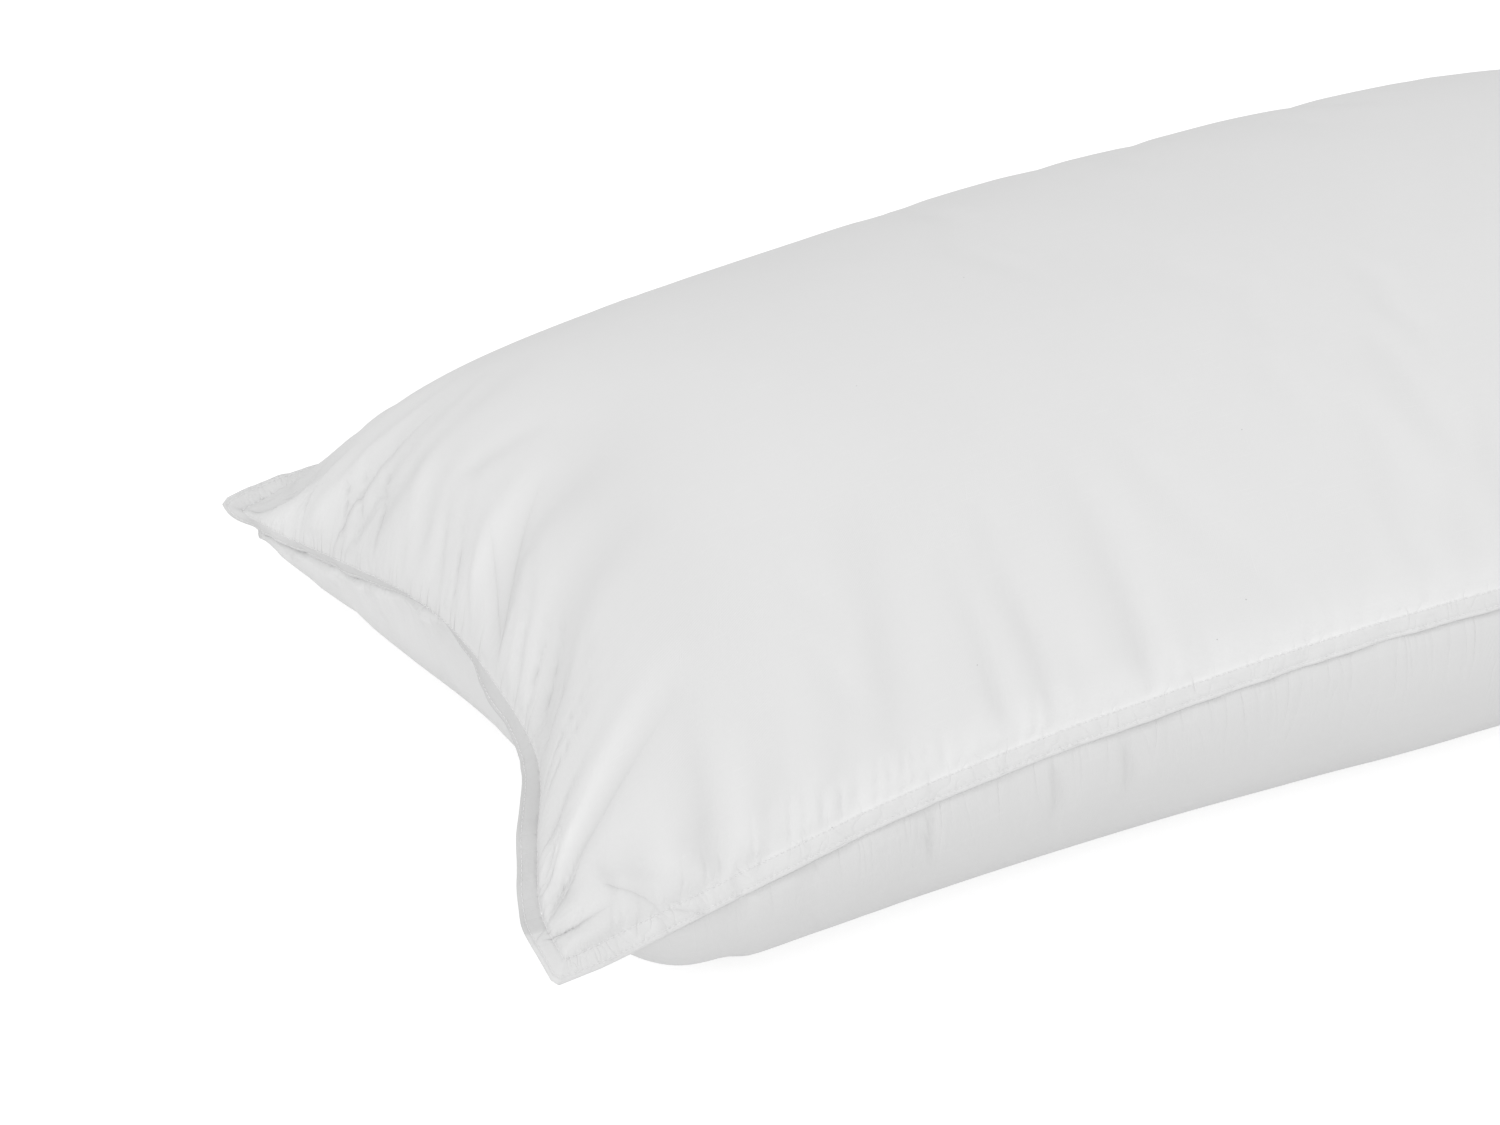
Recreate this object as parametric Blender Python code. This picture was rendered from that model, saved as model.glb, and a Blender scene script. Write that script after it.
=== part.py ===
"""A rectangular bed pillow of plain white cotton, well filled, lying on its back.

The pillow is one filled body. Two panels are sewn together all round, and the
seam allowance is turned in and stitched down as a flat edge about 10 mm wide.
The filling draws the sides in between the corners, so the corners stand out as
ears, and gathers the cloth into soft folds that run in from the stitched edge.

Lengths are in metres. X runs along the pillow, Y across it and Z up.
The origin is under the middle of the pillow, on the surface that it lies on.
"""

import math

import bmesh
import bpy
import numpy as np

OBJECT_NAME = "bed_pillow"
PILLOW_NODE = "pillow"

# Size of the filled pillow, from corner tip to corner tip, and its highest point
LENGTH = 0.880
WIDTH = 0.470
CROWN = 0.212

# The flat stitched edge that runs all round
EDGE_WIDTH = 0.010
EDGE_THICKNESS = 0.0024

# How full the swell is along and across the pillow: a higher reach keeps the
# crown level for longer, and a lower bow makes the rise from the seam steeper
REACH_ALONG = 4.8
BOW_ALONG = 0.58
REACH_ACROSS = 1.9
BOW_ACROSS = 0.85

# How the underside turns down to its flat rest, how softly it meets it, how far
# its side walls belly out and how close that stays to the sides, and how far the
# flat ears reach in from the corners
UNDER_REACH_ALONG = 8.0
UNDER_REACH_ACROSS = 5.0
UNDER_BOW = 0.6
UNDER_SPREAD = 1.27
UNDER_EASE = 1.5
BELLY = 0.014
BELLY_REACH = 6
EAR_REACH = 0.048

# Mesh cells along and across one panel, and how strongly they crowd to the seam
CELLS_ALONG = 48
CELLS_ACROSS = 34
SEAM_CROWDING = 0.55

# A fold reaches full depth this share of the way from the seam to the middle of
# the panel. Along its own length it starts at one share of its depth, is at full
# depth after another, and fades out to its end by a power.
FOLD_ROOT = 0.05
FOLD_FIRST = 0.2
FOLD_LEAD = 0.16
FOLD_FADE = 0.6
FOLD_STEPS = 25

# Plain white cotton
COTTON_WHITE = (0.86, 0.86, 0.85)
COTTON_ROUGHNESS = 0.9

UP = np.array([0.0, 0.0, 1.0])

# A small step along a seam or a panel, to find which way it runs there
NUDGE = 0.001


def table(columns, *rows):
    """Turn rows of numbers into a dictionary with one array for each named column."""
    return dict(zip(columns.split(), np.array(rows, dtype=float).T))


# The stitched seam, station by station from one corner (-1) to the other (1).
# inset is how far the seam is drawn in from the line through the corner tips,
# height is above the rest surface, and droop is the slope of the flat edge in
# degrees below level.
LEFT_END = table(
    "station inset height droop",
    (-1.00, 0.013, 0.071, 5),
    (-0.87, 0.013, 0.074, 5),
    (-0.70, 0.026, 0.080, 8),
    (-0.45, 0.053, 0.087, 25),
    (0.00, 0.053, 0.103, 60),
    (0.40, 0.040, 0.081, 60),
    (0.75, 0.026, 0.055, 55),
    (1.00, 0.021, 0.042, 30),
)
NEAR_SIDE = table(
    "station inset height droop",
    (-1.00, 0.014, 0.071, 5),
    (-0.83, 0.029, 0.075, 35),
    (-0.58, 0.037, 0.093, 40),
    (-0.25, 0.040, 0.105, 40),
    (0.10, 0.034, 0.115, 40),
    (0.60, 0.033, 0.096, 40),
    (1.00, 0.012, 0.055, 10),
)
FAR_SIDE = table(
    "station inset height droop",
    (-1.00, 0.014, 0.042, 30),
    (-0.65, 0.034, 0.070, 30),
    (-0.10, 0.032, 0.106, 30),
    (0.45, 0.028, 0.106, 30),
    (1.00, 0.012, 0.055, 10),
)
RIGHT_END = table(
    "station inset height droop",
    (-1.00, 0.012, 0.055, 10),
    (-0.50, 0.040, 0.082, 30),
    (0.00, 0.050, 0.095, 40),
    (0.50, 0.040, 0.082, 30),
    (1.00, 0.012, 0.055, 10),
)

# Main folds in the top panel. Each runs from its start through a bend to its end;
# rise is negative for a furrow and positive for a ridge.
FOLD_COLUMNS = "start_x start_y bend_x bend_y end_x end_y width rise"
FOLDS = {
    "near_corner_crease": (-0.428, -0.208, -0.393, -0.186, -0.330, -0.150, 0.010, -0.0050),
    "near_corner_ridge": (-0.418, -0.182, -0.390, -0.160, -0.335, -0.125, 0.014, 0.0040),
    "near_side_furrow": (-0.398, -0.206, -0.384, -0.200, -0.350, -0.190, 0.010, -0.0030),
    "near_side_dimple": (-0.342, -0.206, -0.336, -0.185, -0.335, -0.160, 0.014, -0.0025),
    "near_end_hollow": (-0.395, -0.110, -0.370, -0.095, -0.330, -0.090, 0.018, -0.0035),
    "mid_end_furrow": (-0.382, -0.034, -0.366, -0.024, -0.325, 0.010, 0.012, -0.0040),
    "mid_end_ridge": (-0.386, 0.002, -0.366, 0.010, -0.325, 0.035, 0.015, 0.0035),
    "far_ear_furrow": (-0.410, 0.122, -0.400, 0.094, -0.345, 0.102, 0.012, -0.0045),
    "far_ear_ridge": (-0.404, 0.140, -0.385, 0.124, -0.345, 0.135, 0.014, 0.0035),
    "far_ear_fold": (-0.425, 0.196, -0.412, 0.186, -0.385, 0.172, 0.010, 0.0030),
    "crown_furrow": (-0.128, -0.188, -0.121, -0.160, -0.125, -0.110, 0.016, -0.0030),
    "right_near_furrow": (0.425, -0.205, 0.390, -0.180, 0.325, -0.140, 0.014, -0.0035),
    "right_mid_furrow": (0.380, 0.030, 0.355, 0.020, 0.310, -0.010, 0.016, -0.0035),
    "right_far_furrow": (0.420, 0.205, 0.390, 0.175, 0.330, 0.140, 0.014, -0.0035),
}


def remove_old_objects():
    """Empty the scene, so that the script can be run again."""
    for old in list(bpy.data.objects):
        bpy.data.objects.remove(old)


def through(stations, values, at):
    """Smooth curve through a table's values: a cubic between each two stations,
    with the slope at each station taken from its neighbours."""
    slopes = np.gradient(values, stations)
    k = np.clip(np.searchsorted(stations, at, side="right") - 1, 0, len(stations) - 2)
    span = stations[k + 1] - stations[k]
    t = (at - stations[k]) / span
    start = (1 + 2 * t) * (1 - t) ** 2 * values[k] + t * (1 - t) ** 2 * span * slopes[k]
    end = t * t * (3 - 2 * t) * values[k + 1] - t * t * (1 - t) * span * slopes[k + 1]
    return start + end


def column(seam, name, at):
    """One column of a seam table as a smooth curve."""
    return through(seam["station"], seam[name], at)


def end_seam(seam, side, v):
    """Points of an end seam, from the near corner (v = -1) to the far one (v = 1)."""
    x = side * (LENGTH / 2 - column(seam, "inset", v))
    near = column(NEAR_SIDE, "inset", side)
    far = column(FAR_SIDE, "inset", side)
    y = (1 + v) / 2 * (WIDTH / 2 - far) - (1 - v) / 2 * (WIDTH / 2 - near)
    return np.stack([x, y, column(seam, "height", v)], -1)


def side_seam(seam, side, u):
    """Points of a side seam, from the left corner (u = -1) to the right one (u = 1)."""
    left = column(LEFT_END, "inset", side)
    right = column(RIGHT_END, "inset", side)
    x = (1 + u) / 2 * (LENGTH / 2 - right) - (1 - u) / 2 * (LENGTH / 2 - left)
    y = side * (WIDTH / 2 - column(seam, "inset", u))
    return np.stack([x, y, column(seam, "height", u)], -1)


def seam_surface(u, v):
    """The surface spanned between the four seams: each pair of facing seams is
    blended straight across, and what the corners count twice is taken off."""
    s = ((1 + u) / 2)[..., None]
    t = ((1 + v) / 2)[..., None]
    ends = (1 - s) * end_seam(LEFT_END, -1, v) + s * end_seam(RIGHT_END, 1, v)
    sides = (1 - t) * side_seam(NEAR_SIDE, -1, u) + t * side_seam(FAR_SIDE, 1, u)
    left = [end_seam(LEFT_END, -1, np.float64(corner)) for corner in (-1, 1)]
    right = [end_seam(RIGHT_END, 1, np.float64(corner)) for corner in (-1, 1)]
    near = (1 - s) * left[0] + s * right[0]
    far = (1 - s) * left[1] + s * right[1]
    return ends + sides - (1 - t) * near - t * far


def swell(u, v):
    """How far the top has risen from the seam (0) to the crown (1)."""
    along = (1 - np.abs(u) ** REACH_ALONG) ** BOW_ALONG
    across = (1 - np.abs(v) ** REACH_ACROSS) ** BOW_ACROSS
    return along * across


def settle(u, v):
    """How far the underside has come down from the seam (0) to the rest (1)."""
    along = (1 - np.abs(u) ** UNDER_REACH_ALONG) ** UNDER_BOW
    across = (1 - np.abs(v) ** UNDER_REACH_ACROSS) ** UNDER_BOW
    from_corner = np.hypot((1 - np.abs(u)) * LENGTH / 2, (1 - np.abs(v)) * WIDTH / 2)
    ear = 1 - np.exp(-(from_corner / EAR_REACH) ** 2)
    depth = np.minimum(UNDER_SPREAD * along * across, 1)
    return ear * (1 - (1 - depth) ** UNDER_EASE)


def edge_directions(seam_line, seam, side, at, turn):
    """For the flat edge at one seam: the direction from the stitches to the outer
    edge, and the direction that its upper face looks in."""
    step = seam_line(seam, side, at + NUDGE) - seam_line(seam, side, at - NUDGE)
    level = np.stack([step[:, 1], -step[:, 0], 0 * at], -1) * turn
    level /= np.linalg.norm(level, axis=1, keepdims=True)
    droop = np.radians(column(seam, "droop", at))[:, None]
    out = np.cos(droop) * level - np.sin(droop) * UP
    over = np.sin(droop) * level + np.cos(droop) * UP
    return out, over


def fold_relief(x, y):
    """Height of the main folds at places on the top: each is a soft furrow or ridge
    along a bent route, deepest near its start and fading out towards its end."""
    relief = np.zeros_like(x)
    t = np.linspace(0, 1, FOLD_STEPS)
    for row in FOLDS.values():
        fold = dict(zip(FOLD_COLUMNS.split(), row))
        route_x, route_y = (
            (1 - t) ** 2 * fold["start_" + axis]
            + 2 * t * (1 - t) * fold["bend_" + axis]
            + t * t * fold["end_" + axis]
            for axis in "xy"
        )
        away = np.hypot(x[:, None] - route_x, y[:, None] - route_y)
        nearest = away.argmin(axis=1)
        along = t[nearest]
        lead = np.minimum(1, FOLD_FIRST + (1 - FOLD_FIRST) * along / FOLD_LEAD)
        fade = lead * (1 - along) ** FOLD_FADE
        relief += fold["rise"] * fade * np.exp(-(away.min(axis=1) / fold["width"]) ** 2)
    return relief


def top_panel(u, v):
    """The top: the seam surface raised towards the crown, with the main folds
    pressed in square to it."""
    def smooth_top(a, b):
        points = seam_surface(a, b)
        points[:, 2] += swell(a, b) * (CROWN - points[:, 2])
        return points

    points = smooth_top(u, v)
    inner_u = np.clip(u, NUDGE - 1, 1 - NUDGE)
    inner_v = np.clip(v, NUDGE - 1, 1 - NUDGE)
    along = smooth_top(inner_u + NUDGE, inner_v) - smooth_top(inner_u - NUDGE, inner_v)
    across = smooth_top(inner_u, inner_v + NUDGE) - smooth_top(inner_u, inner_v - NUDGE)
    normal = np.cross(along, across)
    normal /= np.linalg.norm(normal, axis=1, keepdims=True)
    from_seam = 1 - np.maximum(np.abs(u), np.abs(v))
    held = np.minimum(1, from_seam / FOLD_ROOT)
    return points + normal * (held * fold_relief(points[:, 0], points[:, 1]))[:, None]


def under_panel(u, v):
    """The underside: the seam surface brought down to the flat rest, with side
    walls that belly out most halfway down."""
    points = seam_surface(u, v)
    down = settle(u, v)
    belly = BELLY * 4 * down * (1 - down)
    points[:, 1] += belly * np.sign(v) * np.abs(v) ** BELLY_REACH
    points[:, 2] *= 1 - down
    return points


def shape_panel(mesh, panel, face):
    """Move a flat grid of cloth to its place: its outermost ring of cells becomes the
    flat edge, and the rest one panel. face is 1 for the top, -1 for the underside."""
    flat = np.array([vert.co[:2] for vert in mesh.verts])
    cells = np.array([CELLS_ALONG, CELLS_ACROSS])
    step = np.rint((flat + 1) / 2 * (cells + 2))
    s = np.clip((step - 1) / cells * 2 - 1, -1, 1)
    crowded = (1 - SEAM_CROWDING) * s + SEAM_CROWDING * np.sin(math.pi / 2 * s)
    points = panel(*crowded.T)
    over = np.zeros_like(points)
    # each seam: which way it is crossed, on which side, its line and table, and the
    # turn that takes its own direction to the outward one
    seams = (
        (0, -1, end_seam, LEFT_END, -1),
        (0, 1, end_seam, RIGHT_END, 1),
        (1, -1, side_seam, NEAR_SIDE, 1),
        (1, 1, side_seam, FAR_SIDE, -1),
    )
    for across, side, seam_line, seam, turn in seams:
        outer = step[:, across] == (cells[across] + 2) * (side + 1) / 2
        at_seam = crowded[:, across] == side
        out, upper = edge_directions(seam_line, seam, side, crowded[:, 1 - across], turn)
        points += np.where(outer, EDGE_WIDTH, 0)[:, None] * out
        over += np.where(at_seam, 1, 0)[:, None] * upper
    inside = np.linalg.norm(over, axis=1) == 0
    over[inside] = UP
    over /= np.linalg.norm(over, axis=1, keepdims=True)
    points += face * EDGE_THICKNESS / 2 * over
    points[:, 2] = np.maximum(points[:, 2], 0)
    for vert, point in zip(mesh.verts, points):
        vert.co = point


def sew_pillow():
    """Make the closed body: two gridded panels, joined round the outer edge."""
    body = bmesh.new()
    for panel, face in ((top_panel, 1), (under_panel, -1)):
        cloth = bmesh.new()
        bmesh.ops.create_grid(
            cloth,
            x_segments=CELLS_ALONG + 2,
            y_segments=CELLS_ACROSS + 2,
            size=1,
        )
        shape_panel(cloth, panel, face)
        piece = bpy.data.meshes.new("panel")
        cloth.to_mesh(piece)
        cloth.free()
        body.from_mesh(piece)
        bpy.data.meshes.remove(piece)
    rims = [edge for edge in body.edges if edge.is_boundary]
    bmesh.ops.bridge_loops(body, edges=rims)
    bmesh.ops.recalc_face_normals(body, faces=body.faces)
    corners = np.array([vert.co for vert in body.verts])
    middle = (corners.min(axis=0) + corners.max(axis=0)) / 2
    bmesh.ops.translate(body, verts=body.verts, vec=(-middle[0], -middle[1], -corners[:, 2].min()))
    return body


def cotton_material():
    """Plain white woven cotton."""
    cotton = bpy.data.materials.new("white_cotton")
    cotton.use_nodes = True
    shader = cotton.node_tree.nodes["Principled BSDF"]
    shader.inputs["Base Color"].default_value = (*COTTON_WHITE, 1)
    shader.inputs["Roughness"].default_value = COTTON_ROUGHNESS
    shader.inputs["Metallic"].default_value = 0
    return cotton


def build():
    """Make the pillow in a collection of its own."""
    remove_old_objects()
    collection = bpy.data.collections.new(OBJECT_NAME)
    bpy.context.scene.collection.children.link(collection)
    mesh = bpy.data.meshes.new(PILLOW_NODE)
    body = sew_pillow()
    body.to_mesh(mesh)
    body.free()
    mesh.materials.append(cotton_material())
    mesh.shade_smooth()
    pillow = bpy.data.objects.new(PILLOW_NODE, mesh)
    collection.objects.link(pillow)
    return pillow


build()
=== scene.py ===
# %% [markdown]
# # A bed pillow, from its seam to its weave
#
# This script dresses a plain solid pillow in real cloth. The solid comes from a fixed
# frame, and it says where the pillow is and how big it is. Here we make what the eye
# sees: two panels of white cotton, the flat stitched edge that joins them, the folds
# that the filling presses into the cloth, the thread, and the weave.
#
# Every cell does one job. The text before it says what that job is on a real pillow,
# how it could be done in Blender, and why it is done this way here.
# Lengths are in metres. X runs along the pillow, Y across it and Z up.

# %% Load the frame
import math

import bpy
import numpy as np
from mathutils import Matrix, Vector


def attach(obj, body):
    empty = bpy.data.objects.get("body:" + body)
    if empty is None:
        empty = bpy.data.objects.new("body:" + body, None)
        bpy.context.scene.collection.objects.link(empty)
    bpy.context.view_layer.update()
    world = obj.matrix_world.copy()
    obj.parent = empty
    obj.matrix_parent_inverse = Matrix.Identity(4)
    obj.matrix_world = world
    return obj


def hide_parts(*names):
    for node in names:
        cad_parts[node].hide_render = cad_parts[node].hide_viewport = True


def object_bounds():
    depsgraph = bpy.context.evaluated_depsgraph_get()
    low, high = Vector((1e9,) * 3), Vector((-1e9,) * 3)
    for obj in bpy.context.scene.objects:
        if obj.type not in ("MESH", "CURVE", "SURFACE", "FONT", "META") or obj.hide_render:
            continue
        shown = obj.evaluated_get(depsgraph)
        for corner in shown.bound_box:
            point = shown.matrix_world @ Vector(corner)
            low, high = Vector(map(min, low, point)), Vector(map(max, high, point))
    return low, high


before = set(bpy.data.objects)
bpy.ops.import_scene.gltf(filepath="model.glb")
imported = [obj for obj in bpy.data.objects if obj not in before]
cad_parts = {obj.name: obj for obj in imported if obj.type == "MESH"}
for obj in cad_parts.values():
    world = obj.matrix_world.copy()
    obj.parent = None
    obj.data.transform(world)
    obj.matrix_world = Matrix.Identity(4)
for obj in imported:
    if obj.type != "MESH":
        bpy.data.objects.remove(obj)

cad_low, cad_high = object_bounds()
print("the solid pillow measures", [round(b - a, 3) for a, b in zip(cad_low, cad_high)])

# %% [markdown]
# ## The camera
#
# A product photo of a pillow is taken from some way off, with a long lens, so that
# its sides stay nearly parallel. We place the camera by its direction, as seen from
# the pillow, and by its distance from a point near the visible end.

# %% Place the camera
VIEW_AZIMUTH = -24.8
VIEW_ELEVATION = 35.3
VIEW_DISTANCE = 2.24
VIEW_TARGET = Vector((-0.232, 0.009, 0.080))
LENS_MM = 111.2
SENSOR_MM = 36.0


def direction(azimuth, elevation):
    """The direction from the pillow to a place around it. Azimuth is 0 in front of the
    near side and grows to the right, and both angles are in degrees."""
    a, e = math.radians(azimuth), math.radians(elevation)
    return Vector((math.sin(a) * math.cos(e), -math.cos(a) * math.cos(e), math.sin(e)))


def add_camera():
    """A camera that looks at VIEW_TARGET from the direction of the two angles."""
    back = direction(VIEW_AZIMUTH, VIEW_ELEVATION)
    lens = bpy.data.cameras.new("camera")
    lens.lens = LENS_MM
    lens.sensor_width = SENSOR_MM
    camera = bpy.data.objects.new("camera", lens)
    camera.location = VIEW_TARGET + VIEW_DISTANCE * back
    camera.rotation_euler = (-back).to_track_quat("-Z", "Y").to_euler()
    bpy.context.scene.collection.objects.link(camera)
    bpy.context.scene.camera = camera
    return camera


camera = add_camera()
print("the camera stands at", [round(c, 3) for c in camera.location])

# %% [markdown]
# ## The sizes of the pillow
#
# These are the driving sizes of the solid. The tables follow the stitched seam from
# corner to corner, in stations from -1 to 1. The filling pulls the seam in between
# the corners (inset) and lifts it off the bed (height). The flat edge outside it hangs
# down by its own weight (droop, in degrees).

# %% Name the sizes
LENGTH = 0.880
WIDTH = 0.470
CROWN = 0.212
EDGE_WIDTH = 0.010
EDGE_THICKNESS = 0.0024
REACH_ALONG = 4.8
BOW_ALONG = 0.58
REACH_ACROSS = 1.9
BOW_ACROSS = 0.85
UNDER_REACH_ALONG = 8.0
UNDER_REACH_ACROSS = 5.0
UNDER_BOW = 0.6
UNDER_SPREAD = 1.27
UNDER_EASE = 1.5
BELLY = 0.014
BELLY_REACH = 6
EAR_REACH = 0.048
FULL_EAR_REACH = 0.012
HOLLOW = 0.019
HOLLOW_AT = -0.010
HOLLOW_WIDTH = 0.075
MM = 0.001
UP = np.array([0.0, 0.0, 1.0])


def table(columns, *rows):
    """Turn rows of numbers into a dictionary with one array for each named column."""
    return dict(zip(columns.split(), np.array(rows, dtype=float).T))


LEFT_END = table(
    "station inset height",
    (-1.00, 0.0130, 0.074),
    (-0.87, 0.0150, 0.0765),
    (-0.70, 0.0285, 0.081),
    (-0.45, 0.0520, 0.087),
    (-0.22, 0.0535, 0.094),
    (0.00, 0.0505, 0.096),
    (0.20, 0.0445, 0.090),
    (0.40, 0.0370, 0.077),
    (0.60, 0.0310, 0.062),
    (0.80, 0.0255, 0.0465),
    (1.00, 0.0205, 0.033),
)
NEAR_SIDE = table(
    "station inset height",
    (-1.00, 0.014, 0.074),
    (-0.83, 0.029, 0.077),
    (-0.58, 0.037, 0.093),
    (-0.25, 0.040, 0.105),
    (0.10, 0.034, 0.115),
    (0.60, 0.033, 0.096),
    (1.00, 0.012, 0.055),
)
FAR_SIDE = table(
    "station inset height",
    (-1.00, 0.016, 0.033),
    (-0.93, 0.019, 0.045),
    (-0.65, 0.034, 0.069),
    (-0.10, 0.032, 0.106),
    (0.45, 0.028, 0.106),
    (1.00, 0.012, 0.055),
)
RIGHT_END = table(
    "station inset height",
    (-1.00, 0.012, 0.055),
    (-0.50, 0.040, 0.082),
    (0.00, 0.050, 0.095),
    (0.50, 0.040, 0.082),
    (1.00, 0.012, 0.055),
)
# How far the flat edge hangs down. It is turned well under in the middle of the visible
# end, lies flat near the near corner, and stands up a little at the far one.
LEFT_EDGE = table(
    "station droop",
    (-1.00, 2),
    (-0.93, 3),
    (-0.88, 10),
    (-0.60, 12),
    (-0.50, 24),
    (-0.41, 42),
    (-0.30, 60),
    (-0.20, 74),
    (-0.10, 90),
    (0.00, 106),
    (0.14, 124),
    (0.35, 116),
    (0.60, 114),
    (0.90, 110),
    (0.965, 94),
    (1.00, 10),
)
NEAR_EDGE = table(
    "station droop",
    (-1.00, 24),
    (-0.96, 32),
    (-0.88, 46),
    (-0.75, 56),
    (-0.50, 62),
    (0.60, 62),
    (0.90, 46),
    (1.00, 14),
)
FAR_EDGE = table(
    "station droop",
    (-1.00, -52),
    (-0.965, -20),
    (-0.92, 10),
    (-0.78, 42),
    (-0.40, 62),
    (0.60, 62),
    (0.90, 40),
    (1.00, 14),
)
RIGHT_EDGE = table(
    "station droop",
    (-1.00, 10),
    (-0.80, 30),
    (-0.40, 66),
    (0.40, 66),
    (0.80, 30),
    (1.00, 10),
)
print("the seam has", sum(len(s["station"]) for s in (LEFT_END, NEAR_SIDE, FAR_SIDE, RIGHT_END)), "stations")

# %% [markdown]
# ## The seam as four curves
#
# The seam is the only hard line on a pillow, so everything else hangs from it. Each
# side is a smooth curve through its table. Blender's own curves could do this too,
# but as plain functions of a station they can be asked for any number of points.

# %% Draw the seam


def through(stations, values, at):
    """Smooth curve through a table's values: a cubic between each two stations,
    with the slope at each station taken from its neighbours."""
    slopes = np.gradient(values, stations)
    k = np.clip(np.searchsorted(stations, at, side="right") - 1, 0, len(stations) - 2)
    span = stations[k + 1] - stations[k]
    t = (at - stations[k]) / span
    start = (1 + 2 * t) * (1 - t) ** 2 * values[k] + t * (1 - t) ** 2 * span * slopes[k]
    end = t * t * (3 - 2 * t) * values[k + 1] - t * t * (1 - t) * span * slopes[k + 1]
    return start + end


def column(seam, name, at):
    """One column of a seam table as a smooth curve."""
    return through(seam["station"], seam[name], at)


def end_seam(seam, side, v):
    """An end seam from the near corner (v = -1) to the far one (v = 1): half the
    length less the inset in X, and straight across in Y."""
    x = side * (LENGTH / 2 - column(seam, "inset", v))
    near = column(NEAR_SIDE, "inset", side)
    far = column(FAR_SIDE, "inset", side)
    y = (1 + v) / 2 * (WIDTH / 2 - far) - (1 - v) / 2 * (WIDTH / 2 - near)
    return np.stack([x, y, column(seam, "height", v)], -1)


def side_seam(seam, side, u):
    """A side seam from the left corner (u = -1) to the right one (u = 1): half the
    width less the inset in Y, and straight along in X."""
    left = column(LEFT_END, "inset", side)
    right = column(RIGHT_END, "inset", side)
    x = (1 + u) / 2 * (LENGTH / 2 - right) - (1 - u) / 2 * (LENGTH / 2 - left)
    y = side * (WIDTH / 2 - column(seam, "inset", u))
    return np.stack([x, y, column(seam, "height", u)], -1)


# %% [markdown]
# ## The two panels
#
# A panel is a sheet held at its rim and blown up by the filling. The sheet between
# four curves is a Coons patch: blend each pair of facing curves straight across, add
# the two blends, and take off what the corners count twice. The top then rises by a
# share that is 0 at the seam and 1 at the crown. The underside comes down the same
# way to the bed, where it lies flat.

# %% Shape the panels


def seam_surface(u, v):
    """Coons patch of the four seams."""
    s = ((1 + u) / 2)[..., None]
    t = ((1 + v) / 2)[..., None]
    ends = (1 - s) * end_seam(LEFT_END, -1, v) + s * end_seam(RIGHT_END, 1, v)
    sides = (1 - t) * side_seam(NEAR_SIDE, -1, u) + t * side_seam(FAR_SIDE, 1, u)
    left = [end_seam(LEFT_END, -1, np.float64(corner)) for corner in (-1, 1)]
    right = [end_seam(RIGHT_END, 1, np.float64(corner)) for corner in (-1, 1)]
    near = (1 - s) * left[0] + s * right[0]
    far = (1 - s) * left[1] + s * right[1]
    return ends + sides - (1 - t) * near - t * far


def smooth_top(u, v):
    """The seam surface raised by (1 - |u|^a)^b (1 - |v|^c)^d of the way to the crown."""
    points = seam_surface(u, v)
    along = (1 - np.abs(u) ** REACH_ALONG) ** BOW_ALONG
    across = (1 - np.abs(v) ** REACH_ACROSS) ** BOW_ACROSS
    points[..., 2] += along * across * (CROWN - points[..., 2])
    return points


def smooth_under(u, v):
    """The seam surface brought down to the bed by a share of the same form, eased
    where it meets the bed and held up in the ears, of which the far left one is the
    fullest. Halfway down, the long walls belly out and the left one is hollow."""
    points = seam_surface(u, v)
    along = (1 - np.abs(u) ** UNDER_REACH_ALONG) ** UNDER_BOW
    across = (1 - np.abs(v) ** UNDER_REACH_ACROSS) ** UNDER_BOW
    from_corner = np.hypot((1 - np.abs(u)) * LENGTH / 2, (1 - np.abs(v)) * WIDTH / 2)
    reach = np.where((u < 0) & (v > 0), FULL_EAR_REACH, EAR_REACH)
    ear = 1 - np.exp(-(from_corner / reach) ** 2)
    depth = np.minimum(UNDER_SPREAD * along * across, 1)
    down = ear * (1 - (1 - depth) ** UNDER_EASE)
    halfway = 4 * down * (1 - down)
    points[..., 1] += BELLY * halfway * np.sign(v) * np.abs(v) ** BELLY_REACH
    hollow = np.exp(-((points[..., 1] - HOLLOW_AT) / HOLLOW_WIDTH) ** 2)
    points[..., 0] += HOLLOW * halfway * hollow * np.maximum(-u, 0) ** BELLY_REACH
    points[..., 2] *= 1 - down
    return points


NUDGE = 0.001


def normals(surface, u, v, face):
    """Directions square to a surface, from small steps along and across it. face is 1
    where the surface looks up and -1 where it looks down."""
    u = np.clip(u, NUDGE - 1, 1 - NUDGE)
    v = np.clip(v, NUDGE - 1, 1 - NUDGE)
    along = surface(u + NUDGE, v) - surface(u - NUDGE, v)
    across = surface(u, v + NUDGE) - surface(u, v - NUDGE)
    found = np.cross(along, across) * face
    return found / np.maximum(np.linalg.norm(found, axis=-1, keepdims=True), 1e-12)


# %% [markdown]
# ## Uneven cloth
#
# No fold on a pillow repeats exactly, so we need a soft random curve and a soft random
# surface. Both read a fixed list of random numbers, laid out in cells, and blend from
# one cell to the next. The same seed gives the same pillow each time.

# %% Make soft noise
RANDOM_CELLS = 256
NOISE_START = (97.3, 61.7)
NOISE_ROW_STEP = (13, 29)
random_values = np.random.default_rng(7).uniform(-1, 1, (RANDOM_CELLS, RANDOM_CELLS))


def eased(share):
    """Ease a share from 0 to 1 at both ends, as share share (3 - 2 share)."""
    share = np.clip(share, 0, 1)
    return share * share * (3 - 2 * share)


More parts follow.
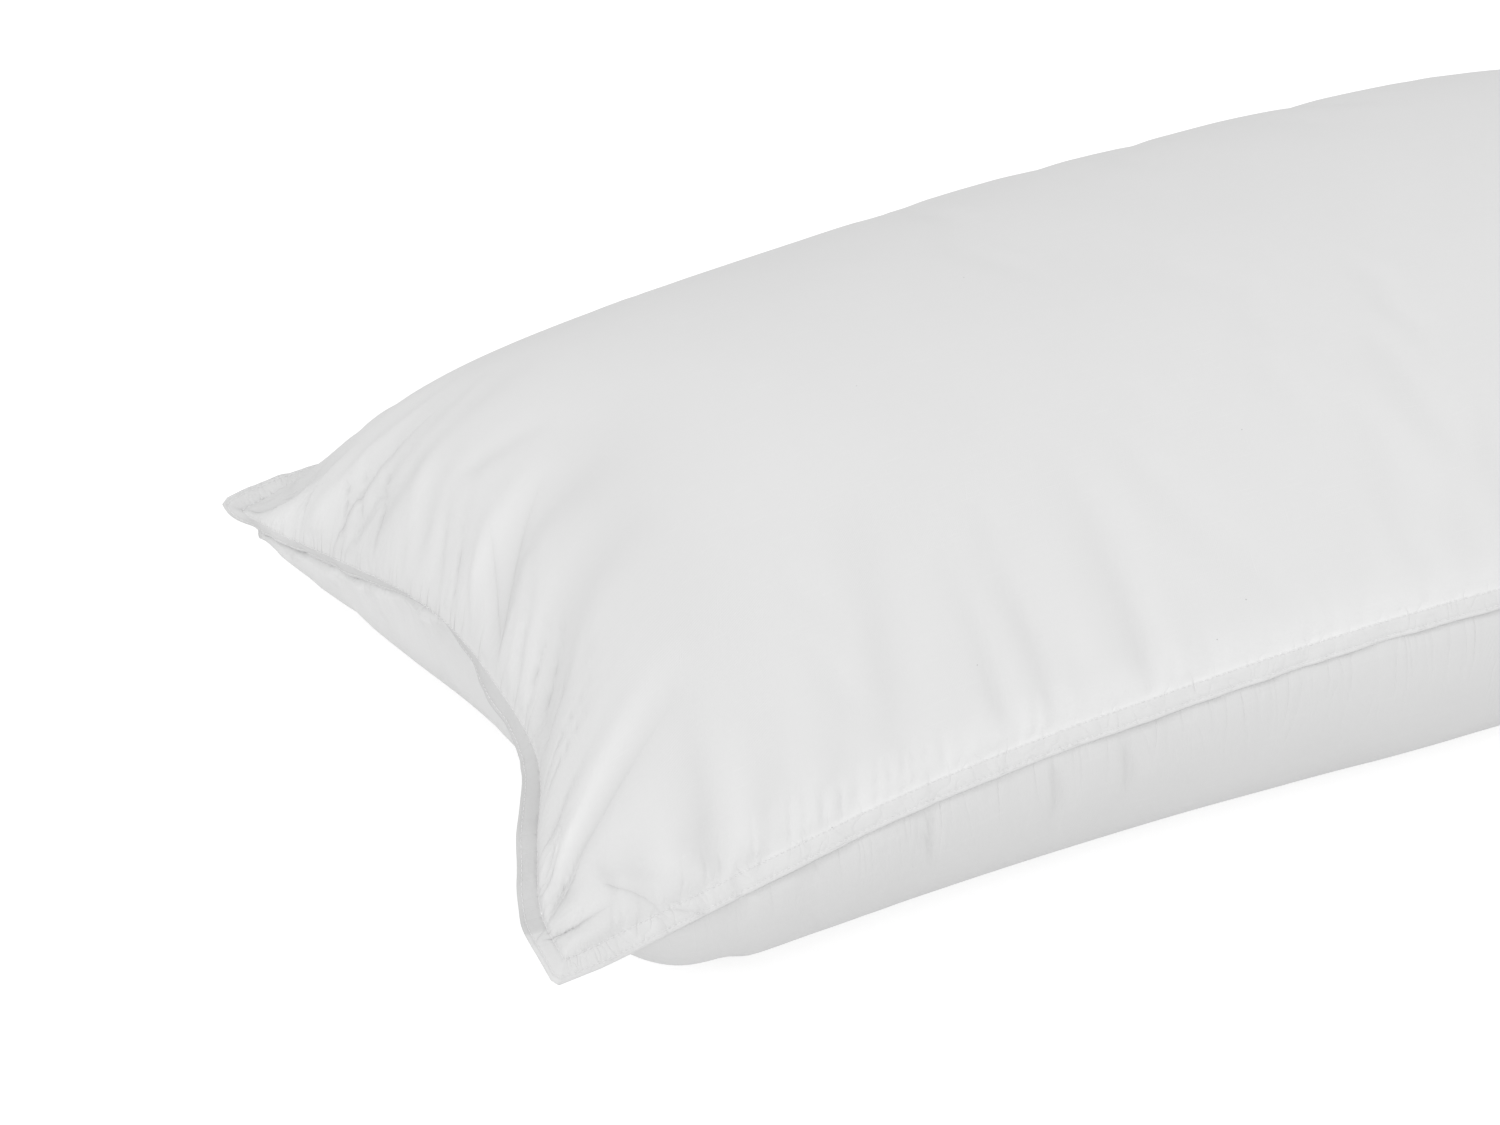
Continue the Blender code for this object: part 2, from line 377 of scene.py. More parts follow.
def soft_noise(x, y, size_x, size_y, row=0):
    """Smooth random surface between -1 and 1: random values at the corners of cells
    of the given size, blended with the curve t t (3 - 2 t). Another row is another
    part of the same random surface."""
    a = x / size_x + NOISE_START[0] + NOISE_ROW_STEP[0] * row
    b = y / size_y + NOISE_START[1] + NOISE_ROW_STEP[1] * row
    i, j = np.floor(a).astype(int), np.floor(b).astype(int)
    s, t = eased(a - i), eased(b - j)

    def at(di, dj):
        return random_values[(i + di) % RANDOM_CELLS, (j + dj) % RANDOM_CELLS]

    return (at(0, 0) * (1 - s) + at(1, 0) * s) * (1 - t) + (at(0, 1) * (1 - s) + at(1, 1) * s) * t


# %% [markdown]
# ## The folds
#
# A filled panel can't be flat and curved at once, so the spare cloth near the seam
# goes into folds. Each fold here is one row: three places that it passes, seen from
# above, how wide it is at both ends, and how far it rises (or falls, with a minus).
# pinch makes its floor sharper: 0 is a soft trough and 1 a crease.

# %% List the folds
FOLD_COLUMNS = "start_x start_y middle_x middle_y end_x end_y width wider rise pinch"
TOP_FOLDS = {
    "corner crease": (-431, -204, -393, -179, -326, -140, 2.4, 7, -3.0, 0.35),
    "corner ridge": (-415, -188, -385, -160, -322, -122, 6, 10, 6.8, 0),
    "corner trough": (-411, -166, -394, -148, -346, -121, 4, 9, -3.4, 0.2),
    "corner puff": (-424, -191, -422, -188, -418, -183, 2.5, 2.5, 1.8, 0),
    "low crease": (-430, -203, -416, -209, -398, -207, 1.4, 3, -2.6, 0.8),
    "low bulge": (-424, -213, -412, -214, -398, -213, 3, 3, 1.2, 0),
    "fan bulge": (-420, -202, -404, -200, -378, -190, 4, 8, 2.0, 0),
    "side crease": (-404, -195, -384, -203, -362, -213, 1.8, 3, -1.0, 0.4),
    "side patch": (-400, -196, -386, -193, -368, -197, 5, 7, -3.4, 0),
    "side second crease": (-372, -210, -359, -213, -346, -215, 1.6, 2, -1.6, 0.5),
    "wall trough": (-349, -206, -340, -184, -331, -138, 6, 9, -4.0, 0),
    "wall ridge": (-362, -204, -362, -186, -356, -164, 7, 12, 2.2, 0),
    "wall second ridge": (-329, -203, -325, -186, -318, -160, 6, 10, 2.2, 0),
    "arc": (-394, -118, -363, -74, -308, -58, 6, 14, -6.6, 0.1),
    "arc ridge": (-392, -96, -370, -58, -330, -42, 5, 12, 1.8, 0),
    "right v": (-386, -47, -368, -27, -316, -22, 3, 10, -5.0, 0.2),
    "left v": (-383, -38, -377, -20, -370, -2, 1.4, 4, -1.8, 0.5),
    "bright ridge": (-390, -16, -366, -5, -332, 3, 8, 11, 5.4, 0),
    "short trough": (-372, 42, -350, 29, -324, 20, 4, 8, -3.0, 0.2),
    "mid trough": (-393, 33, -378, 50, -350, 60, 3, 10, -2.2, 0.2),
    "mid ridge": (-390, 50, -374, 66, -346, 76, 4, 8, 1.8, 0),
    "ear crease": (-410, 119, -387, 92, -326, 97, 1.8, 6, -4.6, 0.5),
    "ear trough": (-402, 98, -376, 76, -308, 84, 5, 12, -4.6, 0),
    "ear swell": (-418, 160, -392, 122, -330, 111, 7, 8, 4.2, 0),
    "ear second crease": (-402, 96, -396, 92, -382, 82, 1.2, 3, -1.0, 0.6),
    "ear dent": (-421, 212, -405, 204, -380, 196, 4, 9, -4.0, 0),
    "first side trough": (-121, -200, -124, -165, -132, -104, 5, 11, -3.1, 0.2),
    "first side swell": (-106, -200, -108, -160, -114, -106, 8, 13, 1.8, 0),
    "second side trough": (-171, -198, -174, -165, -179, -118, 4.5, 8, -2.5, 0.2),
    "third side trough": (-196, -196, -197, -170, -202, -130, 4, 9, -2.6, 0),
    "broad side trough": (-250, -198, -238, -146, -226, -98, 9, 16, -3.0, 0),
    "side swell": (-148, -188, -149, -166, -152, -130, 8, 14, 1.8, 0),
    "right near crease": (425, -205, 396, -184, 320, -138, 3, 12, -3.4, 0.4),
    "right near ridge": (418, -184, 390, -164, 322, -122, 6, 14, 3.2, 0),
    "right middle trough": (384, 30, 360, 20, 310, -10, 5, 16, -3.0, 0.2),
    "right middle ridge": (386, 58, 362, 46, 322, 26, 5, 14, 2.4, 0),
    "right far crease": (424, 205, 394, 180, 322, 138, 3, 12, -3.4, 0.4),
    "right far ridge": (412, 180, 386, 158, 318, 112, 6, 14, 3.2, 0),
    "far side trough": (-250, 196, -246, 180, -240, 150, 6, 12, -1.8, 0),
    "far side second trough": (60, 204, 64, 184, 60, 156, 6, 12, -1.8, 0),
}
BROAD_FOLDS = {
    "ear shoulder": (-405, 228, -385, 166, -332, 98, 15, 20, -8.5, 0),
}
UNDER_FOLDS = {
    "far ear fullness": (-421, 234, -410, 200, -392, 132, 10, 15, 11.0, 0),
    "far ear fold": (-408, 128, -403, 114, -396, 98, 4, 5, -2.6, 0),
    "far ear second fold": (-405, 93, -396, 88, -384, 82, 4, 6, -3.4, 0),
    "end fold": (-396, 67, -387, 57, -370, 42, 4, 6, -3.6, 0),
    "end bulge": (-392, 47, -384, 38, -370, 30, 5, 7, 3.4, 0),
    "near corner hollow": (-324, -192, -356, -186, -400, -178, 20, 22, -4.0, 0),
    "near trough": (-177, -199, -178, -208, -180, -204, 9, 13, -3.6, 0),
    "near second trough": (-139, -199, -140, -208, -143, -205, 7, 11, -3.2, 0),
    "near third trough": (-242, -200, -242, -208, -242, -204, 4, 9, -2.2, 0),
    "near fourth trough": (-300, -200, -300, -208, -298, -204, 8, 11, -2.0, 0),
}
FOLD_STEPS = 40
FOLD_FADE = 0.7
FOLD_START = 0.30
FOLD_EXTENT = 4
FOLD_ROUNDING = 1e-4


def relief(folds, x, y):
    """Height of all the folds at places seen from above. Each fold follows a quadratic
    curve through its three places, and falls off beside it as
    exp(-(distance / width)^p), where p is 2 for a soft fold and 1 for a sharp one. It
    is deepest FOLD_START of the way along and fades to both ends."""
    height = np.zeros_like(x)
    t = np.linspace(0, 1, FOLD_STEPS)
    for row in folds.values():
        fold = dict(zip(FOLD_COLUMNS.split(), row))
        route = [
            MM * ((1 - t) * (1 - 2 * t) * fold["start_" + a] + 4 * t * (1 - t) * fold["middle_" + a]
                  + t * (2 * t - 1) * fold["end_" + a])
            for a in "xy"
        ]
        widest = FOLD_EXTENT * MM * max(fold["width"], fold["wider"])
        near = ((x > route[0].min() - widest) & (x < route[0].max() + widest)
                & (y > route[1].min() - widest) & (y < route[1].max() + widest))
        px, py = x[near], y[near]
        away = np.full(px.shape, np.inf)
        along = np.zeros(px.shape)
        for k in range(FOLD_STEPS - 1):
            ax, ay = route[0][k], route[1][k]
            dx, dy = route[0][k + 1] - ax, route[1][k + 1] - ay
            share = np.clip(((px - ax) * dx + (py - ay) * dy) / (dx * dx + dy * dy + 1e-18), 0, 1)
            gap = np.hypot(px - ax - share * dx, py - ay - share * dy)
            closer = gap < away
            away = np.where(closer, gap, away)
            along = np.where(closer, t[k] + share * (t[1] - t[0]), along)
        width = MM * (fold["width"] + (fold["wider"] - fold["width"]) * along)
        side = np.exp(-((away / width) ** 2 + FOLD_ROUNDING) ** (1 - fold["pinch"] / 2))
        height[near] += MM * fold["rise"] * side * eased(along / FOLD_START) * (1 - along) ** FOLD_FADE
    return height


# %% [markdown]
# ## The puckers
#
# Stitching shortens the cloth a little, so the cloth beside each row of stitches
# gathers into fine puckers square to the seam. They die out within a few centimetres.
# A soft noise that is narrow along the seam and long across it looks just like them.
# Beside the near left corner the cloth is crumpled, so the puckers are stronger there.

# %% Pucker the cloth beside the seam
PUCKER_SPACING = 0.0062
GATHER_SPACING = 0.017
PLEAT_SPACING = 0.0105
PLEAT_SHARPNESS = 0.16
PUCKER_RUN = 0.016
GATHER_RUN = 0.080
PLEAT_RUN = 1.6
LONG_PLEATS = 0.015
HELD = 0.004
UNEVENNESS = 0.5
UNEVEN_SPACING = 0.06
CROSSED = 0.7
CORNER_CALM = 0.035
# For each side: height in mm of the fine puckers, the broad gathers and the sharp
# pleats, how far in metres each of them reaches in, how much they lean along the side
# as they run in, and a row of the noise.
PUCKERS = {
    "near": (0.42, 0.8, 0.60, 0.009, 0.030, 0.011, 0.3, 1),
    "right": (0.35, 1.4, 0.80, 0.012, 0.040, 0.030, 0.2, 2),
    "far": (0.35, 0.6, 0.40, 0.010, 0.030, 0.018, 0.1, 3),
    "left": (0.30, 1.6, 2.50, 0.008, 0.036, 0.026, 0.8, 4),
}
CRUMPLED_AT = -0.310
CRUMPLED_WIDTH = 0.065
CRUMPLED_STRENGTH = 1.3
# Each kind of noise reads a row of its own: these are added to the row of the side.
GATHER_ROW, STRENGTH_ROW, PLEAT_ROW, CROSSED_ROW = 4, 20, 30, 40


def gaps_at(u, v):
    """Distance of a place in a panel from each side, in metres seen from above."""
    return {"near": (1 + v) * WIDTH / 2, "far": (1 - v) * WIDTH / 2,
            "left": (1 + u) * LENGTH / 2, "right": (1 - u) * LENGTH / 2}


def calm_corners(gaps):
    """0 at the corners and 1 further along any side than CORNER_CALM."""
    from_sides = np.minimum(gaps["near"], gaps["far"])
    from_ends = np.minimum(gaps["left"], gaps["right"])
    return np.clip(np.maximum(from_sides, from_ends) / CORNER_CALM, 0, 1)


def puckers(x, y, gaps):
    """Height of the puckers. For each side: noise that is narrow along the side,
    times a strength along it, times exp(-gap / reach) away from it. The fine ones are
    two such noises that cross. The pleats are creases exp(-(noise / sharpness)^2)
    where another noise passes through zero. The seam itself holds the large ones."""
    height = np.zeros_like(x)
    for name, (fine, gather, pleat, fine_reach, reach, pleat_reach, lean, row) in PUCKERS.items():
        along = x if name in ("near", "far") else y
        inside = np.maximum(gaps[name], 0)
        strength = 1 + UNEVENNESS * soft_noise(along, 0 * along, UNEVEN_SPACING, 1, row + STRENGTH_ROW)
        if name == "near":
            strength += CRUMPLED_STRENGTH * np.exp(-((along - CRUMPLED_AT) / CRUMPLED_WIDTH) ** 2)
        held = np.clip(inside / HELD, 0, 1)
        leaning = along - lean * inside
        small = soft_noise(along + inside, inside, PUCKER_SPACING, PUCKER_RUN, row)
        crossing = soft_noise(along - inside, inside, PUCKER_SPACING, PUCKER_RUN, row + CROSSED_ROW)
        small = CROSSED * (small + crossing)
        large = soft_noise(leaning, inside, GATHER_SPACING, GATHER_RUN, row + GATHER_ROW)
        spacing = PLEAT_SPACING if pleat_reach > LONG_PLEATS else PUCKER_SPACING
        narrow = soft_noise(leaning, inside, spacing, PLEAT_RUN * pleat_reach, row + PLEAT_ROW)
        height += MM * fine * strength * small * np.exp(-inside / fine_reach)
        height += MM * gather * strength * large * held * np.exp(-inside / reach)
        crease = np.exp(-(narrow / PLEAT_SHARPNESS) ** 2)
        height -= MM * pleat * strength * crease * held * np.exp(-(inside / pleat_reach) ** 2)
    return height * calm_corners(gaps)


# %% [markdown]
# ## A light cloth simulation
#
# The large shape is known, but the small unevenness of real cloth under pressure is
# hard to draw. Blender's Cloth gives it. We build both panels at a coarse scale, pin
# them at the seam, let them grow by a little and blow them up for twenty frames. What
# the cloth adds at the scale of a wrinkle is kept, and how far a point may move is capped.

# %% Simulate the panels
SIM_ALONG = 120
SIM_ACROSS = 66
SIM_FRAMES = 20
SIM_PRESSURE = 4.0
SIM_GROWTH = 0.006
SIM_CAP = 0.005
SIM_HELD_CELLS = 3
WRINKLE_BLUR = 40
CROWDING = 0.35
LEFT_BIAS = 0.10


def crowd(s):
    """Map evenly spaced stations to ones that crowd towards both ends."""
    return (1 - CROWDING) * s + CROWDING * np.sin(math.pi / 2 * s)


def crowd_left(s):
    """The same, with more of them towards the left end, whose folds are finer."""
    return crowd(s) - LEFT_BIAS * (1 - s * s)


def grid_faces(index):
    """Four-sided faces of a grid, from its array of vertex numbers."""
    return np.stack([index[:-1, :-1], index[1:, :-1], index[1:, 1:], index[:-1, 1:]], -1).reshape(-1, 4)


def coarse_cloth():
    """Both panels as one coarse mesh with a shared rim: its points, its faces and the
    vertex numbers of each panel's grid."""
    u, v = np.meshgrid(crowd_left(np.linspace(-1, 1, SIM_ALONG + 1)),
                       crowd(np.linspace(-1, 1, SIM_ACROSS + 1)), indexing="ij")
    count = u.size
    top = np.arange(count).reshape(u.shape)
    under = top.copy()
    under[1:-1, 1:-1] = count + np.arange((SIM_ALONG - 1) * (SIM_ACROSS - 1)).reshape(
        SIM_ALONG - 1, SIM_ACROSS - 1)
    points = np.concatenate([
        smooth_top(u, v).reshape(-1, 3),
        smooth_under(u, v)[1:-1, 1:-1].reshape(-1, 3),
    ])
    faces = np.concatenate([grid_faces(top), grid_faces(under)[:, ::-1]])
    return points, faces, top, under


def blow_up(points, faces, pinned):
    """Run Cloth on a closed mesh with some points pinned, and return where its points
    end up."""
    mesh = bpy.data.meshes.new("coarse cloth")
    mesh.from_pydata(points.tolist(), [], faces.tolist())
    cloth = bpy.data.objects.new("coarse cloth", mesh)
    bpy.context.scene.collection.objects.link(cloth)
    group = cloth.vertex_groups.new(name="seam")
    group.add(pinned.tolist(), 1.0, "REPLACE")
    modifier = cloth.modifiers.new("cloth", "CLOTH")
    settings = modifier.settings
    settings.vertex_group_mass = "seam"
    settings.quality = 5
    settings.mass = 0.15
    settings.air_damping = 2.0
    settings.tension_stiffness = 40
    settings.compression_stiffness = 40
    settings.shear_stiffness = 20
    settings.bending_stiffness = 0.6
    settings.shrink_min = -SIM_GROWTH
    settings.use_pressure = True
    settings.uniform_pressure_force = SIM_PRESSURE
    settings.effector_weights.gravity = 0
    modifier.collision_settings.use_collision = False
    modifier.point_cache.frame_end = SIM_FRAMES
    for step in range(1, SIM_FRAMES + 1):
        bpy.context.scene.frame_set(step)
    result = cloth.evaluated_get(bpy.context.evaluated_depsgraph_get()).to_mesh()
    moved = np.empty(len(result.vertices) * 3)
    result.vertices.foreach_get("co", moved)
    bpy.context.scene.frame_set(1)
    bpy.data.objects.remove(cloth)
    bpy.data.meshes.remove(mesh)
    return moved.reshape(-1, 3)


def blur(grid, passes):
    """Smooth a grid by repeated averaging with its neighbours along both ways."""
    for _ in range(passes):
        for axis in (0, 1):
            shorter = range(grid.shape[axis] - 1)
            before = np.concatenate([grid.take([0], axis), grid.take(shorter, axis)], axis)
            after = np.concatenate([grid.take(range(1, grid.shape[axis]), axis), grid.take([-1], axis)], axis)
            grid = (before + 2 * grid + after) / 4
    return grid


def wrinkles(moved, start):
    """The part of a movement that a blur takes away, held at the seam and capped."""
    step = moved - start
    fine = step - blur(step, WRINKLE_BLUR)
    rows, columns = step.shape[:2]
    i, j = np.meshgrid(np.arange(rows), np.arange(columns), indexing="ij")
    from_rim = np.minimum(np.minimum(i, rows - 1 - i), np.minimum(j, columns - 1 - j))
    fine *= np.clip(from_rim / SIM_HELD_CELLS, 0, 1)[..., None]
    size = np.linalg.norm(fine, axis=-1, keepdims=True)
    return fine * SIM_CAP / (SIM_CAP + size)


coarse_points, coarse_faces, top_index, under_index = coarse_cloth()
rim = np.unique(np.concatenate([top_index[0], top_index[-1], top_index[:, 0], top_index[:, -1]]))
moved_points = blow_up(coarse_points, coarse_faces, rim)
top_wrinkles = wrinkles(moved_points[top_index], coarse_points[top_index])
under_wrinkles = wrinkles(moved_points[under_index], coarse_points[under_index])
print("the cloth moved by up to", round(float(np.abs(top_wrinkles).max()) * 1000, 1), "mm")


def sample(grid, u, v):
    """Read a grid of vectors between its points with a cubic B-spline, which also
    takes off the last roughness."""
    stations = np.linspace(-1, 1, 2001)
    a = (np.interp(u, crowd_left(stations), stations) + 1) / 2 * SIM_ALONG
    b = (np.interp(v, crowd(stations), stations) + 1) / 2 * SIM_ACROSS
    i, j = np.floor(a).astype(int), np.floor(b).astype(int)
    s, t = a - i, b - j

    def weights(f):
        return ((1 - f) ** 3 / 6, (3 * f ** 3 - 6 * f ** 2 + 4) / 6,
                (-3 * f ** 3 + 3 * f ** 2 + 3 * f + 1) / 6, f ** 3 / 6)

    total = np.zeros(u.shape + (3,))
    for di, wi in zip(range(-1, 3), weights(s)):
        for dj, wj in zip(range(-1, 3), weights(t)):
            value = grid[np.clip(i + di, 0, SIM_ALONG), np.clip(j + dj, 0, SIM_ACROSS)]
            total += (wi * wj)[..., None] * value
    return total


# %% [markdown]
# ## The flat edge
#
# Outside the seam both panels run on together for a finger's width, turned in and
# stitched flat. To carry a profile along the seam we need three directions at each
# of its points: out to the edge, over (the way that the upper face looks) and along.
# At a corner the two edges meet in a mitre, so the outer edge leans over to the tip.

# %% Find the directions along the seam
SIDES = {
    "near": (side_seam, NEAR_SIDE, NEAR_EDGE, -1, 1),
    "right": (end_seam, RIGHT_END, RIGHT_EDGE, 1, 1),
    "far": (side_seam, FAR_SIDE, FAR_EDGE, 1, -1),
    "left": (end_seam, LEFT_END, LEFT_EDGE, -1, -1),
}
NEIGHBOURS = {
    "near": (("left", -1), ("right", -1)),
    "right": (("near", 1), ("far", 1)),
    "far": (("left", 1), ("right", 1)),
    "left": (("near", -1), ("far", -1)),
}
FLAT_OUT = {
    "near": np.array([0.0, -1.0]),
    "right": np.array([1.0, 0.0]),
    "far": np.array([0.0, 1.0]),
    "left": np.array([-1.0, 0.0]),
}
MITRE = 0.0135
MITRE_SHARPNESS = 0.80
WORN_SIDES = {"left": 1.0, "near": 0.4}
# How much shade is painted on the flat edge on each side (painted light with a minus), and
# where that changes: by how much, past which station, and over how far along the stations
# (with a minus, before it instead).
END_STEPS = [(0.85, -0.915, 0.012), (-0.35, 0.1, 0.2)]
EDGE_PAINTED_SHADING = {
    "near": (-0.10, []),
    "right": (0.15, END_STEPS),
    "far": (0.30, [(0.1, -0.85, -0.05)]),
    "left": (0.15, END_STEPS),
}


def edge_directions(name, at):
    """Out and over at stations of one side: out is square to the seam, and turned
    down by the droop."""
    line, seam, edge, side, turn = SIDES[name]
    step = line(seam, side, at + NUDGE) - line(seam, side, at - NUDGE)
    level = np.stack([step[..., 1], -step[..., 0], 0 * step[..., 0]], -1) * turn
    level /= np.linalg.norm(level, axis=-1, keepdims=True)
    droop = np.radians(column(edge, "droop", at))[..., None]
    out = np.cos(droop) * level - np.sin(droop) * UP
    over = np.sin(droop) * level + np.cos(droop) * UP
    return out, over


def edge_painted_shading(name, at):
    """How much shade is painted on the flat edge at stations of one side: painted
    shade on most of it, and painted light on the near side's."""
    usual, steps = EDGE_PAINTED_SHADING[name]
    painted_shading = np.full(at.shape, usual)
    for change, station, over in steps:
        painted_shading += change * eased((at - station) / over)
    return painted_shading


def side_columns(name, at):
    """Everything that the edge needs at stations of one side, as a dictionary: where
    the seam runs, the directions, the place in the panel and in the flat cloth, how
    calm it is, how much shade or light is painted on it, and how worn (kinked by use) it is."""
    line, seam, _, side, _ = SIDES[name]
    half = (LENGTH if line is side_seam else WIDTH) / 2
    out, over = edge_directions(name, at)
    flat = np.zeros(at.shape + (2,)) + FLAT_OUT[name]
    for corner, (other, there) in zip((-1, 1), NEIGHBOURS[name]):
        lean = MITRE_SHARPNESS * np.clip(1 - (1 - corner * at) * half / MITRE, 0, 1)[..., None]
        next_out, next_over = edge_directions(other, np.float64(there))
        out = out + lean * next_out
        over = over + lean * next_over
        flat = flat + lean * FLAT_OUT[other]
    over /= np.linalg.norm(over, axis=-1, keepdims=True)
    u, v = (at, side + 0 * at) if line is side_seam else (side + 0 * at, at)
    gaps = gaps_at(u, v)
    seam_line = line(seam, side, at)
    lifted = puckers(seam_line[..., 0], seam_line[..., 1], gaps)
    return {"seam": seam_line + lifted[..., None] * over, "out": out, "over": over,
            "u": u, "v": v, "flat": flat, "calm": calm_corners(gaps), "painted_shading": edge_painted_shading(name, at),
            "worn": np.full(at.shape, WORN_SIDES.get(name, 0.0))}


# %% [markdown]
# ## One closed skin
#
# The cloth is finest beside the seam, where the puckers are, and smooth in the middle.
# So each panel has a grid in its middle, and rings of finer cells round it that run
# out to the seam, over the flat edge and back. Where a ring meets a grid, every second
# point of the ring meets a point of the grid, and three triangles fill each gap.

# %% Lay out the skin
CELLS_ALONG = 244
CELLS_ACROSS = 130
RING_INSETS = np.array([12.0, 10.0, 8.1, 6.3, 4.7, 3.3, 2.1, 1.1, 0.4]) * MM
UNDER_INSETS = np.array([0.03, 0.09, 0.22, 0.4, 0.7, 1.2, 1.9, 3.0]) * MM
UNDER_OUTER_INSETS = np.array([5.0, 8.0, 12.0]) * MM
FLANGE_STEPS = np.array([0.0, 0.5, 1.3, 2.5, 3.9, 5.2, 6.4, 7.2, 7.8, 8.5, 9.3]) * MM
BEAD_ANGLES = np.radians([90, 45, 0, -45, -90])
UNDER_FLANGE_STEPS = np.array([9.0, 7.8, 6.5, 4.5, 2.4, 0.8, 0.0]) * MM
EDGE_STITCH = 0.0075
STITCH_PINCH = 0.35
SEAM_PINCH_WIDTH = 0.0008
EDGE_PINCH_WIDTH = 0.0006
# The waves of the edge: height in mm, length in metres and row of the noise.
LONG_WAVE = (0.9, 0.045, 9)
SHORT_WAVE = (0.3, 0.011, 10)
KINKS = (2.2, 0.016, 12)
EDGE_PUCKERS = (0.25, 0.006, 11)
EDGE_PUCKER_LEAN = 0.4
RIM_REACH = 0.012
FOLD_HELD = 0.003
RIDGE = 0.0018
RIDGE_AT = 0.0055
RIDGE_WIDTH = 0.0050
LEAST_DROOP = 20
CLEARANCE_START = 0.002
CLEARANCE_SOFTNESS = 0.0007
EDGE_CLEARANCE = 0.0024
WAVY_CLEARANCE = 0.0010
EDGE_RELEASE = 1.5
EDGE_HOLD_FROM = 0.02
EDGE_HOLD_FADE = 0.03
REST_EASE = 0.020
UNDER_SEAM_EASE = 0.02
TOP_GRID_INSET = 0.0140
UNDER_GRID_INSET = 0.0165
EDGE_PAINTED_SHADING_FROM = 0.0006


def flange_half_thickness(t):
    """Half the edge's thickness at a distance t from the seam: squeezed by the
    stitches at both rows, and puffed between and outside them."""
    at_seam = np.exp(-(t / SEAM_PINCH_WIDTH) ** 2)
    at_edge = np.exp(-((t - EDGE_STITCH) / EDGE_PINCH_WIDTH) ** 2)
    return EDGE_THICKNESS / 2 * (1 - STITCH_PINCH * at_seam - STITCH_PINCH * at_edge)


def ripple(c, t):
    """How far the flat edge waves up and down: a share of its distance from the
    seam, with long waves and short ones, and kinks where it is worn. Its small puckers
    reach their full height a quarter of the way out."""
    along = c["path"]
    share = min(t / EDGE_WIDTH, 1)

    def waves(height, length, row):
        return height * soft_noise(along, 0 * along, length, 1, row)

    wave = waves(*LONG_WAVE) + waves(*SHORT_WAVE) + c["worn"] * waves(*KINKS)
    height, run, row = EDGE_PUCKERS
    small = height * soft_noise(along + EDGE_PUCKER_LEAN * t, t + 0 * along, PUCKER_SPACING, run, row)
    return MM * (wave * share + small * min(4 * share, 1)) * c["calm"]


def rim_weights(gaps):
    """How strongly a place belongs to each side's rim: 1 at the seam and 0 at
    RIM_REACH inside it."""
    return {name: np.clip(1 - gaps[name] / RIM_REACH, 0, 1) ** 2 for name in SIDES}


def rim_direction(u, v, gaps, inside):
    """The edge's own direction over at the seam, turned to the given inside
    direction further in."""
    weights = rim_weights(gaps)
    most = np.maximum.reduce(list(weights.values()))
    direction = (1 - most)[..., None] * inside
    for name in SIDES:
        at = u if name in ("near", "far") else v
        _, over = edge_directions(name, np.clip(at, NUDGE - 1, 1 - NUDGE))
        direction = direction + weights[name][..., None] * over
    return direction / np.linalg.norm(direction, axis=-1, keepdims=True)


def top_cloth(u, v):
    """The finished top: the smooth top, the simulated wrinkles, the folds, the puckers
    and the full ridge along the near seam, on half the thickness of the edge."""
    points = smooth_top(u, v)
    gaps = gaps_at(u, v)
    square = normals(smooth_top, u, v, 1)
    rim_gap = np.minimum.reduce(list(gaps.values()))
    folds = relief(TOP_FOLDS | BROAD_FOLDS, points[..., 0], points[..., 1])
    folds += RIDGE * np.exp(-((gaps["near"] - RIDGE_AT) / RIDGE_WIDTH) ** 2)
    folds *= eased(rim_gap / FOLD_HELD)
    gathers = puckers(points[..., 0], points[..., 1], gaps)
    over = rim_direction(u, v, gaps, square)
    return (points + sample(top_wrinkles, u, v) + square * folds[..., None]
            + over * (gathers + flange_half_thickness(0.0))[..., None])


def held_inside(name, at, depth, outwards):
    """How far a wall may stand outside its seam where the flat edge hangs over it: not
    further than the line of the edge at that depth, and more again below its rim."""
    edge = SIDES[name][2]
    droop = np.radians(np.maximum(column(edge, "droop", np.clip(at, -1, 1)), LEAST_DROOP))
    hang = EDGE_WIDTH * np.sin(droop)
    clearance = EDGE_CLEARANCE + (WAVY_CLEARANCE if name == "left" else 0)
    start = 1 - np.exp(-depth / CLEARANCE_START)
    line = np.minimum(depth, hang) / np.tan(droop) - clearance * start
    line += EDGE_RELEASE * np.maximum(depth - hang, 0)
    softness = CLEARANCE_SOFTNESS * start + 1e-5
    return outwards - softness * np.logaddexp(0, (outwards - line) / softness)


